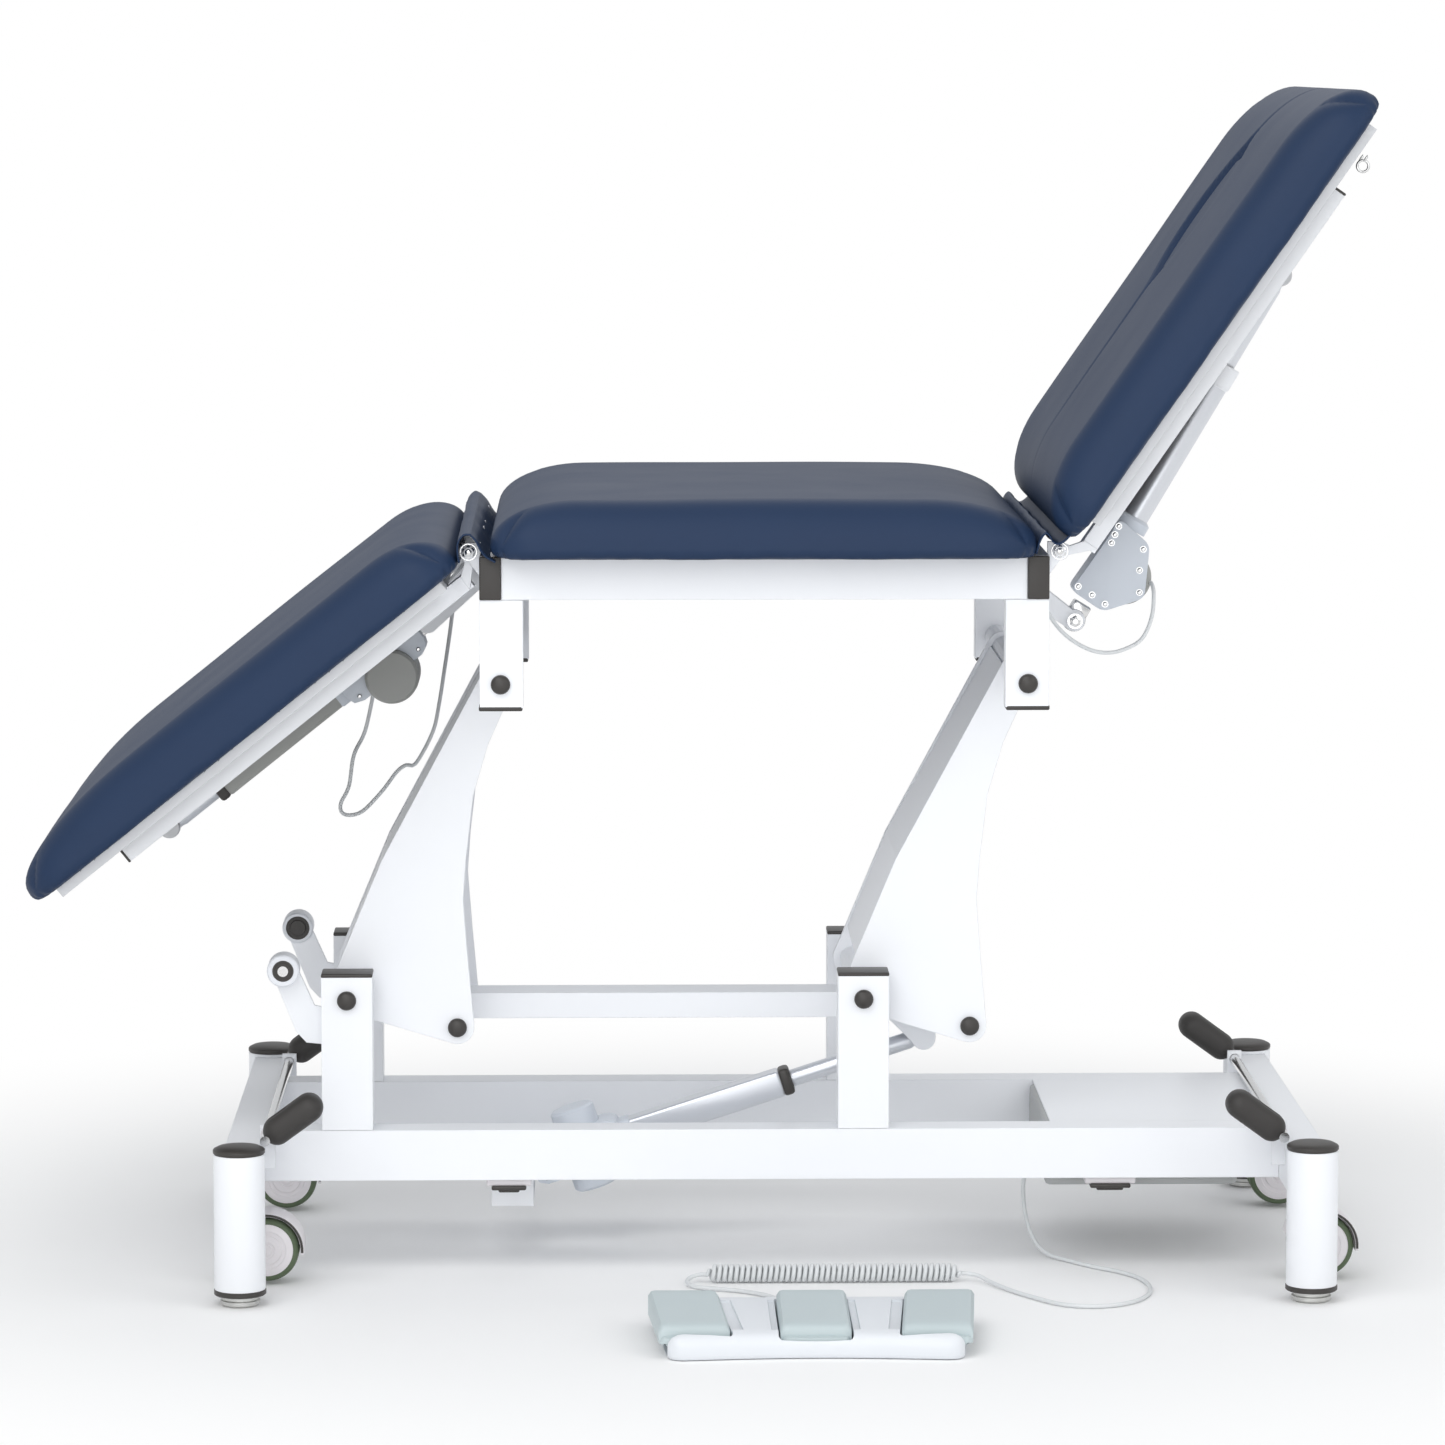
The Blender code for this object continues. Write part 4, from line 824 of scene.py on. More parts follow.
# ---------------------------------------------------------------- caps, feet and wheels
class COUCH_OT_feet(Operator):
    """Makes the four legs with their caps and screwed feet."""

    bl_idname = "couch.feet"
    bl_label = "Legs"

    def execute(self, context):
        palette = [black_cap(), powder_coat(), worn_steel()]
        for side in SIDES:
            for end in ENDS:
                node = f"leg_{side}_{end}"
                spot, top = middle(node), high(node).z
                r = (high(node).x - low(node).x) / 2
                rows = [(0, 0.0, 2), (0.0205, 0.0, 2), (0.0230, 0.0022, 2), (0.0230, 0.0062, 2),
                        (0.0205, 0.0070, 2), (0.0205, 0.0095, 2)]
                rows += [(0.0235, 0.0102, 2), (0.0235, 0.0122, 2), (r - 0.0012, 0.0122, 0),
                         (r + 0.0001, 0.0134, 0), (r + 0.0001, 0.0180, 0)]
                rows += [(r - 0.0008, 0.0188, 0), (r - 0.0008, 0.0194, 1), (r - 0.0004, 0.0202, 1),
                         (r - 0.0004, top - 0.0112, 1)]
                rows += [(r - 0.0012, top - 0.0106, 1), (r - 0.0012, top - 0.0096, 0), (r, top - 0.0090, 0),
                         (r, top - 0.0058, 0), (r - 0.0012, top - 0.0044, 0)]
                rows += [(0.8 * r, top - 0.0020, 0), (0.5 * r, top - 0.0005, 0), (0, top, 0)]
                bm = lathe(rows, 64)
                where = level(Vector((spot.x, spot.y, 0)))
                obj = new_piece(f"leg_look_{side}_{end}", bm, where, palette, "base", angle=35)
                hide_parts(node)
        return {"FINISHED"}


class COUCH_OT_rollers(Operator):
    """Makes the two support rollers at the foot end, with their rings and bolts."""

    bl_idname = "couch.rollers"
    bl_label = "Support rollers"

    def execute(self, context):
        palette = [roller_white(), black_cap(), bright_steel()]
        for side, way in SIDES.items():
            node = f"roller_{side}"
            a, b = low(node), high(node)
            spot, r = (a + b) / 2, (b.z - a.z) / 2
            w = (b.y - a.y) / 2
            rows = [(0, -w, 2), (0.0062, -w, 2), (0.0068, -w + 0.002, 2), (0.0068, -w + 0.0035, 2),
                    (0.0095, -w + 0.0035, 1), (0.0102, -w + 0.0028, 1), (0.0125, -w + 0.0028, 1)]
            rows += [(0.0130, -w + 0.0022, 0), (r - 0.0016, -w + 0.0015, 0), (r, -w + 0.0032, 0),
                     (r, w - 0.0030, 0), (r - 0.0016, w - 0.0012, 0), (0.0145, w - 0.0012, 0)]
            rows += [(0.0140, w - 0.0022, 1), (0.0100, w - 0.0022, 1), (0.0095, w, 1), (0, w, 1)]
            turn = Matrix.Rotation(math.pi, 4, "Z") if way > 0 else Matrix.Identity(4)
            bm = moved(lathe(rows, 48, "Y"), turn)
            obj = new_piece(f"roller_look_{side}", bm, level(spot), palette, node, angle=30)
            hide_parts(node)
        return {"FINISHED"}


class COUCH_OT_castors(Operator):
    """Makes the four twin castors: tyres, hubs, hoods and heads."""

    bl_idname = "couch.castors"
    bl_label = "Castors"

    def execute(self, context):
        tyre, white, black = tyre_green(), hub_white(), black_cap()
        for side in SIDES:
            for end in ENDS:
                node, fork = f"castor_wheel_{side}_{end}", f"castor_fork_{side}_{end}"
                a, b = low(node), high(node)
                spot, r, w = (a + b) / 2, (b.z - a.z) / 2, (b.y - a.y) / 2
                inner = 0.0073
                wheel = bmesh.new()
                for way in (-1, 1):
                    rows = [(0, inner, 0), (0.012, inner, 0), (0.013, inner + 0.0015, 0),
                            (r - 0.003, inner + 0.0015, 0), (r - 0.0006, inner + 0.0028, 0),
                            (r, inner + 0.006, 0)]
                    rows += [(r, w - 0.0075, 0), (r - 0.0012, w - 0.0040, 0), (r - 0.0035, w - 0.0020, 0),
                             (r - 0.0068, w - 0.0016, 0), (r - 0.0072, w - 0.0024, 1),
                             (0.0265, w - 0.0012, 1)]
                    rows += [(0.0225, w - 0.0009, 1), (0.0220, w - 0.0016, 1), (0.0175, w - 0.0017, 1),
                             (0.0170, w - 0.0005, 1), (0.0095, w - 0.0002, 1), (0.0088, w - 0.0010, 1),
                             (0.0062, w - 0.0010, 1), (0.0056, w, 1), (0, w, 1)]
                    half = lathe(rows, 56, "Y")
                    turn = Matrix.Rotation(math.pi, 4, "Z") if way < 0 else Matrix.Identity(4)
                    join(wheel, moved(half, turn))
                obj = new_piece(f"castor_wheel_look_{side}_{end}", wheel, level(spot), [tyre, white], node,
                                angle=30)
                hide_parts(node)
                head = high(fork).z - spot.z
                outline = arc(0, 0, r + 0.0058, 26, math.radians(-8), math.radians(172))
                inside = arc(0, 0, r + 0.0020, 26, math.radians(164), math.radians(-172))
                hood = slab(outline + inside, -w + 0.0006, w - 0.0006, 0.0010, 2)
                rib = arc(0, 0, r + 0.003, 10, math.radians(20), math.radians(130))
                rib = [(0, -0.010), (0.010, -0.004), (r + 0.003, 0.004), *rib, (-0.010, -0.004)]
                web = slab(rib, -0.0062, 0.0062, 0.001, 1)
                lips = bmesh.new()
                for way in (-1, 1):
                    rounds = arc(0, 0, r + 0.0040, 20, math.radians(-4), math.radians(160))
                    edge = [(a, way * (w - 0.0004), b) for a, b in rounds]
                    join(lips, tinted(tube_along(edge, 0.0014, 8), 1))
                rows = [(0, r - 0.004), (0.0125, r - 0.004), (0.0138, r + 0.006), (0.0138, head - 0.010)]
                rows += [(0.0120, head - 0.008), (0.0092, head - 0.006), (0.0092, head), (0, head)]
                post = lathe([(across, height, 0) for across, height in rows], 32)
                fork_bm = join(join(hood, web), lips)
                offset = joint_at(f"castor_swivel_{side}_{end}").x - spot.x
                join(fork_bm, moved(post, Matrix.Translation((offset, 0, 0))))
                where = level(Vector((spot.x, middle(fork).y, spot.z)))
                obj = new_piece(f"castor_hood_{side}_{end}", fork_bm, where, [white, black], fork,
                                angle=35)
                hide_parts(fork)
        return {"FINISHED"}


class COUCH_OT_pedals(Operator):
    """Makes the two castor pedal shafts with their moulded foot pads."""

    bl_idname = "couch.pedals"
    bl_label = "Castor pedals"

    def execute(self, context):
        rubber, steel, white = pedal_rubber(), bright_steel(), hub_white()
        for end, way in ENDS.items():
            node = f"pedal_shaft_{end}"
            pivot = joint_at(f"pedal_shaft_hinge_{end}")
            slope = math.radians(36)
            whole = bmesh.new()
            reach = (high(node).y - low(node).y) / 2
            for side in SIDES.values():
                table = []
                pad = bmesh.new()
                for step in range(29):
                    a = 0.0395 * (1 - math.cos(math.pi * step / 28))
                    margin = min(a, 0.079 - a)
                    full = math.sqrt(max(0.0, 1 - (1 - min(1.0, margin / 0.0168)) ** 2))
                    half, rise = 0.0216 * max(full, 0.05) ** 0.8, 0.0168 * max(full, 0.04)
                    ring = []
                    for t in [math.tau * i / 28 for i in range(28)]:
                        c, s = math.cos(t), math.sin(t)
                        b = half * math.copysign(abs(c) ** 0.75, c)
                        h = rise * math.copysign(abs(s) ** 0.85, s)
                        if s > 0:
                            along, across = (a - 0.030) / 0.014, b / 0.0052
                            h -= 0.0050 * math.exp(-(along**4)) * math.exp(-(across**4))
                        ring.append(pad.verts.new((a, b, h)))
                    table.append(ring)
                for one, two in zip(table, table[1:]):
                    wall(pad, one, two)
                pad.faces.new(table[0])
                pad.faces.new(table[-1][::-1])
                rows = [(0, 0.020, 2), (0.0078, 0.020, 2), (0.0078, 0.031, 2), (0.0068, 0.0325, 2),
                        (0, 0.0325, 2)]
                sleeve = lathe(rows, 24, "Y")
                if side * way < 0:
                    sleeve = moved(sleeve, Matrix.Rotation(math.pi, 4, "Z"))
                pad.transform(Matrix.Rotation(-slope, 4, "Y"))
                join(pad, sleeve)
                if way > 0:
                    pad.transform(Matrix.Rotation(math.pi, 4, "Z"))
                pad.transform(Matrix.Translation((0, side * (reach - 0.023), 0)))
                join(whole, pad)
            half = reach - 0.004
            join(whole, tinted(tube_along([(0, -half, 0), (0, 0, 0), (0, half, 0)], 0.0060, 20), 1))
            centre = Vector((pivot.x, MID_Y, pivot.z))
            obj = new_piece(f"pedal_look_{end}", whole, level(centre), [rubber, steel, white], node,
                            angle=60)
            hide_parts(node)
        return {"FINISHED"}


# ---------------------------------------------------------------- actuators
BACK_CASE = ((0.418, 0.882), (0.455, 0.850), (0.449, 0.786), (0.399, 0.770), (0.361, 0.796), (0.407, 0.862))


def rounded_outline(corners, r, steps=5):
    """A polygon's outline with each corner drawn round."""
    spots = []
    for k, here in enumerate(corners):
        here, before, after = Vector(here), Vector(corners[k - 1]), Vector(corners[(k + 1) % len(corners)])
        start, end = here + (before - here).normalized() * r, here + (after - here).normalized() * r
        for i in range(steps + 1):
            t = i / steps
            spots.append(tuple(start * (1 - t) ** 2 + here * 2 * t * (1 - t) + end * t * t))
    return spots


class COUCH_OT_actuators(Operator):
    """Makes the three electric actuators: gear cases, motors, outer tubes and rods."""

    bl_idname = "couch.actuators"
    bl_label = "Actuators"

    def execute(self, context):
        metal, steel = aluminium(), bright_steel()
        palette = [gear_case(), motor_grey_and_painted_shade(), metal, steel, black_cap(), powder_coat()]
        for name, reach, tail in (("lift", 0.5144, 0.167), ("back", 0.4793, 0.137), ("foot", 0.3997, 0.070)):
            where = actuator_frame(name)
            body, rod = f"{name}_actuator", f"{name}_rod"
            bm = bmesh.new()
            if name == "back":
                local = [where.inverted() @ place(x, 0, z) for x, z in BACK_CASE]
                outline = rounded_outline([(p.x, p.z) for p in local], 0.009)
            else:
                half = [(0.020, -0.0215), (0.030, -0.0262), (0.118, -0.0262), (0.130, -0.0215),
                        (0.1335, -0.012)]
                outline = [*half, *[(a, -b) for a, b in half[::-1]], (0.0165, 0.012), (0.0165, -0.012)]
            join(bm, slab(outline, -CASE_HALF, CASE_HALF, 0.0035, 3))
            join(bm, slab(outline, -PLATE_HALF, -PLATE_HALF + 0.0022, 0.0008, 2))
            join(bm, self.eye(0.0140, 0.0125, (0.0015, 0.0020), 3, 32))
            join(bm, tinted(soft_box(0.006, 0.022, -0.0115, 0.0115, -0.0115, 0.0115, 0.002, 2), 3))
            if name == "lift":
                drum = [(0, -0.0505), (0.0235, -0.0505), (0.0268, -0.0475), (0.0272, -0.0260)]
                drum += [(0.0262, -0.0250), (0.0262, -0.0238), (0.0272, -0.0228)]
                drum = [(r, h, 0) for r, h in drum + [(r, -h) for r, h in drum[::-1]]]
                join(bm, moved(lathe(drum, 56), Matrix.Translation((0.083, 0, 0))))
            else:
                z = 0.024 if name == "foot" else -0.024
                near = -0.0395 if name == "foot" else -0.0245
                # The motor drum takes the motor cover grey, which is partly painted shade.
                drum = [(0, near, 1), (0.0290, near, 1), (0.0322, near + 0.003, 1), (0.0328, -0.0200, 1),
                        (0.0318, -0.0190, 1), (0.0318, -0.0180, 1), (0.0328, -0.0170, 1),
                        (0.0328, 0.0365, 1), (0.0300, 0.0395, 1), (0, 0.0395, 1)]
                join(bm, moved(lathe(drum, 64, "Y"), Matrix.Translation((0.075, 0, z))))
            end = reach - tail
            if name == "back":
                rows = [(0, 0.128, 0), (0.0215, 0.128, 0), (0.0215, 0.140, 0), (0.0178, 0.143, 0),
                        (0.0164, 0.144, 2), (0.0164, end - 0.016, 2), (0.0178, end - 0.014, 5),
                        (0.0185, end - 0.012, 5), (0.0185, end + 0.0115, 5), (0.0172, end + 0.0128, 5),
                        (0.0112, end + 0.0128, 4), (0, end + 0.0128, 4)]
                join(bm, lathe(rows, 48, "X"))
            else:
                # The foot actuator's outer tube takes the motor cover grey (index 1), which on this tube is
                # painted shade.
                tube = soft_box(0.130, end - 0.012, -0.0164, 0.0164, -0.0164, 0.0164, 0.0045, 4)
                join(bm, tinted(tube, 2 if name == "lift" else 1))
                join(bm, tinted(soft_box(end - 0.014, end, -0.0166, 0.0166, -0.0166, 0.0166, 0.0045, 3), 4))
                join(bm, soft_box(0.126, 0.146, -0.0175, 0.0175, -0.0175, 0.0175, 0.0035, 3))
            obj = new_piece(f"{name}_actuator_look", bm, where, palette, body, angle=38)
            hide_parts(body)
            start = end - 0.020 if name != "back" else end - 0.010
            rows = [(0, start, 0), (0.0100, start, 0), (0.0104, start + 0.001, 0), (0.0104, reach - 0.018, 0)]
            rows += [(0.0092, reach - 0.014, 0), (0.0092, reach - 0.008, 0), (0, reach - 0.008, 0)]
            bm = lathe(rows, 32, "X")
            join(bm, moved(self.eye(0.0132, 0.0110, (0.0014, 0.0015), 1, 36),
                           Matrix.Translation((reach, 0, 0))))
            obj = new_piece(f"{name}_rod_look", bm, where, [metal, steel], rod, angle=38)
            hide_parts(rod)
        heads = []
        back = actuator_frame("back")
        rim = [Vector(p) for p in BACK_CASE]
        centre = sum(rim, Vector((0, 0))) / len(rim)
        for spot in [*rim, (rim[0] + rim[5]) / 2, (rim[1] + rim[2]) / 2, (rim[3] + rim[4]) / 2]:
            inner = spot + (centre - spot).normalized() * 0.0095
            near_face = back @ Vector((0, -PLATE_HALF, 0))
            heads.append((Vector((place(inner.x, 0, 0).x, near_face.y, inner.y)), (0, -1, 0)))
        repeated("back_gear_case_screws", socket_head(0.0030, 0.0024), heads, steel, "back_actuator")
        for name in ("foot", "lift"):
            where = actuator_frame(name)
            spots = [Vector((a, 0.0004 - PLATE_HALF, b)) for a in (0.030, 0.120) for b in (0.0185, -0.0185)]
            heads = [(where @ spot, (0, -1, 0)) for spot in spots]
            repeated(f"{name}_gear_case_screws", socket_head(0.0028, 0.0022), heads, steel,
                     f"{name}_actuator")
        return {"FINISHED"}

    @staticmethod
    def eye(r, half, rim, material, steps):
        """A short round eye across the couch, with its rims taken off."""
        rows = [(0, -half), (r - rim[0], -half), (r, rim[1] - half)]
        rows += [(r, half - rim[1]), (r - rim[0], half), (0, half)]
        return lathe([(across, height, material) for across, height in rows], steps, "Y")


class COUCH_OT_motor_cables(Operator):
    """Makes the two short motor cables that loop beside the frame's foot and head ends."""

    bl_idname = "couch.motor_cables"
    bl_label = "Motor cables"

    def execute(self, context):
        sheath = cord_grey()
        foot = [(-0.4640, 0.0300, 0.7100), (-0.4680, 0.0500, 0.7020), (-0.4720, 0.0900, 0.6900),
                (-0.4897, 0.1500, 0.6114), (-0.5046, 0.1500, 0.5781), (-0.5110, 0.1500, 0.5398),
                (-0.5210, 0.1500, 0.5187), (-0.5198, 0.1500, 0.5070)]
        foot += [(-0.5088, 0.1500, 0.5039), (-0.4928, 0.1500, 0.5100), (-0.4693, 0.1500, 0.5347),
                 (-0.4526, 0.1500, 0.5569), (-0.4409, 0.1500, 0.5656), (-0.4286, 0.1500, 0.5680),
                 (-0.4080, 0.1500, 0.6060), (-0.4000, 0.1500, 0.6400)]
        foot += [(-0.3920, 0.1500, 0.6900), (-0.3860, 0.1480, 0.7300), (-0.3820, 0.1400, 0.7600),
                 (-0.3800, 0.1150, 0.7800), (-0.3820, 0.0800, 0.7860), (-0.3850, 0.0520, 0.7820),
                 (-0.3860, 0.0430, 0.7810)]
        back = [(0.4560, -0.018, 0.8050), (0.4580, -0.030, 0.8020), (0.4590, -0.040, 0.7900),
                (0.4560, -0.045, 0.7640), (0.4440, -0.049, 0.7390), (0.4220, -0.055, 0.7270),
                (0.4020, -0.062, 0.7240)]
        back += [(0.3820, -0.071, 0.7280), (0.3600, -0.082, 0.7400), (0.3420, -0.092, 0.7560),
                 (0.3280, -0.100, 0.7760), (0.3190, -0.104, 0.7950), (0.3160, -0.105, 0.8060)]
        plans = (("foot_motor_cable", foot, "foot_actuator", "foot_swing"),
                 ("back_motor_cable", back, "back_actuator", "upper_frame"))
        across = 0.0048
        for name, spots, start, end in plans:
            route = spline_through([place(*spot) for spot in spots], 0.004)
            obj = new_piece(name, tube_along(route, across / 2, 12), Matrix.Identity(4), sheath, None)
            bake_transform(obj)
        return {"FINISHED"}


# ---------------------------------------------------------------- frame trim
class COUCH_OT_frame_trim(Operator):
    """Makes the black caps, the domed pivot covers, the bolts and the cable clips on the frame."""

    bl_idname = "couch.frame_trim"
    bl_label = "Caps, bolts and clips"

    def execute(self, context):
        black, steel, white = black_cap(), bright_steel(), hub_white()
        sides = list(SIDES.values())
        for end, (x_low, x_top) in ARM_PIVOTS.items():
            arm = f"lift_arm_{end}"
            for level_name, x, z in (("base", x_low, BASE_PIVOT_Z), ("frame", x_top, TOP_PIVOT_Z)):
                self.domes(f"{level_name}_pivot_covers_{end}", arm, place(x, 0, z), black, arm)
            self.domes(f"coupling_pivot_covers_{end}", "coupling_bar",
                       place(x_low + CRANK_REACH, 0, CRANK_Z), black, "coupling_bar")
        heads = []
        for hinge in (FOOT_HINGE, BACK_HINGE):
            heads += [(Vector((hinge.x, MID_Y + s * 0.2785, hinge.z)), (0, s, 0)) for s in sides]
        repeated("section_hinge_bolts", hex_head(0.0078, 0.0050), heads, steel, "upper_frame")
        heads = [(place(0.3661, -0.0265, 0.7584), (0, -1, 0))]
        repeated("back_clevis_bolt", hex_head(0.0074, 0.0050), heads, steel, "upper_frame")
        caps = bmesh.new()
        for end, x in END_TUBES.items():
            edge = high(f"end_frame_{end}").y - MID_Y
            for s in sides:
                near, far = sorted((s * (edge - 0.0004), s * (edge + 0.0032)))
                join(caps, soft_box(x - 0.0125, x + 0.0125, near, far, FRAME_LOW, FRAME_HIGH, 0.0016, 3))
        new_piece("cross_tube_caps", caps, level(place(0, 0, 0)), black, "upper_frame",
                  angle=35)
        feet = bmesh.new()
        for _, x in ARM_PIVOTS.values():
            for s in sides:
                y0, y1 = sorted((s * (FRAME_OUT - POST_ACROSS), s * FRAME_OUT))
                join(feet, soft_box(x - 0.0252, x + 0.0252, y0 - 0.0002, y1 + 0.0002, 0.6808, 0.6868,
                                    0.0018, 3))
                join(feet, soft_box(x - 0.0215, x + 0.0215, y0 + 0.003, y1 - 0.003, 0.6860, 0.6950, 0.001, 2))
        new_piece("hanging_post_caps", feet, level(place(0, 0, 0)), black, "upper_frame",
                  angle=35)
        posts = bmesh.new()
        for x, _ in ARM_PIVOTS.values():
            for side in SIDES:
                node = f"base_post_{side}_foot"
                y0, y1 = low(node).y - MID_Y, high(node).y - MID_Y
                join(posts, soft_box(x - 0.0302, x + 0.0302, y0 - 0.0002, y1 + 0.0002, 0.3545, 0.3592,
                                     0.0018, 3))
        new_piece("base_post_caps", posts, level(place(0, 0, 0)), black, "base", angle=35)
        clips = bmesh.new()
        for x0, x1 in ((-0.338, -0.285), (0.370, 0.430)):
            join(clips, soft_box(x0, x1, -0.180, -0.150, 0.1040, 0.1128, 0.0025, 3))
            join(clips, tinted(soft_box(x0 + 0.006, x1 - 0.006, -0.1835, -0.1485, 0.0995, 0.1048, 0.002, 3),
                               1))
            join(clips, tinted(soft_box(x0 + 0.014, x1 - 0.014, -0.176, -0.156, 0.0955, 0.1000, 0.002, 2), 1))
        new_piece("cable_clips", clips, level(place(0, 0, 0)), [white, black], "base",
                  angle=35)
        for name, end in (("castor_bar_bolts", "foot"), ("castor_bar_bolts_head", "head")):
            heads = [(place(ENDS[end] * 0.6190, s * 0.2200, 0.1352), (0, 0, 1)) for s in sides]
            repeated(name, hex_head(0.0062, 0.0042), heads, steel, f"castor_bar_{end}")
        return {"FINISHED"}

    @staticmethod
    def domes(name, node, pivot, material, body):
        """Black domes over a pin's two ends, as wide as the head that the pin has there."""
        spots = [vert.co - pivot for vert in frame["nodes"][node].data.vertices]
        spots = [spot for spot in spots if math.hypot(spot.x, spot.z) < 0.0145]
        tip = max(abs(spot.y) for spot in spots)
        r = max(math.hypot(spot.x, spot.z) for spot in spots if abs(spot.y) > tip - 0.006)
        heads = [(Vector((pivot.x, MID_Y + s * (tip - 0.0062), pivot.z)), (0, s, 0)) for s in SIDES.values()]
        repeated(name, dome_head(max(r, 0.0085) + 0.0008, 0.0078), heads, material, body)


class COUCH_OT_section_trim(Operator):
    """Makes the boards' lining, staples, section tube caps and the ring under the back's head end."""

    bl_idname = "couch.section_trim"
    bl_label = "Boards and section trim"

    def execute(self, context):
        lining, black, steel = under_cloth(), black_cap(), bright_steel()
        plans = (("back", BACK_FRAME, BACK_SPAN[1]), ("foot", FOOT_FRAME, FOOT_SPAN[1]))
        for name, where, length in plans:
            body = f"{name}_section"
            cloth = soft_box(0.060, length - 0.046, -0.300, 0.300, -0.0169, -0.0163, 0.0002, 1)
            new_piece(f"{name}_lining", cloth, where, lining, body, angle=35)
            heads = []
            for i in range(27):
                u = 0.060 + (length - 0.11) * i / 26
                for s in SIDES.values():
                    down = where.to_3x3() @ Vector((0.25 * math.sin(7 * i), 0.2 * s, -1))
                    heads.append((where @ Vector((u, s * 0.327, PAD_LOW)), down))
            staple = soft_box(-0.0055, 0.0055, -0.0004, 0.0004, -0.0004, 0.0005, 0.0002, 1)
            repeated(f"{name}_staples", staple, heads, steel, body)
            caps = bmesh.new()
            for s in SIDES.values():
                y0, y1 = sorted((s * 0.2445, s * 0.2705))
                join(caps, soft_box(length - 0.1105, length - 0.1070, y0, y1, -0.0362, -0.0162, 0.0015, 3))
            new_piece(f"{name}_tube_caps", caps, where, black, body, angle=35)
        x, y, z = 0.6734, -0.270, 1.3054
        loop = [place(a, y, b) for a, b in arc(x, z, 0.0066, 32)]
        ring = tube_along(loop + loop[:1], 0.0016, 10)
        new_piece("back_pull_ring", ring, Matrix.Identity(4), steel, "back_section")
        down = BACK_FRAME.to_3x3() @ Vector((0, 0, -1))
        heads = [(place(x, y + 0.02 * k, 1.3150), down) for k in (-1, 1)]
        repeated("back_ring_screws", socket_head(0.0032, 0.0024), heads, steel, "back_section")
        return {"FINISHED"}


# ---------------------------------------------------------------- foot control
# How far a treadle fans out at its front, and the sides on which its well has a finger recess.
TREADLES = {"treadle_left": (0.012, (1,)), "treadle_middle": (0.0, (-1, 1)), "treadle_right": (-0.012, (-1,))}
TREADLE_STATIONS = (
    (0.0, 0.62), (0.006, 0.80), (0.015, 0.90), (0.03, 0.955), (0.06, 0.985), (0.12, 1.0), (0.20, 0.985),
    (0.30, 0.96),
    (0.40, 0.93), (0.50, 0.90), (0.60, 0.87), (0.70, 0.84), (0.79, 0.815), (0.86, 0.79), (0.90, 0.755),
    (0.925, 0.69),
    (0.94, 0.60), (0.95, 0.50), (0.952, 0.30), (0.975, 0.30), (0.992, 0.26), (1.0, 0.12),
)


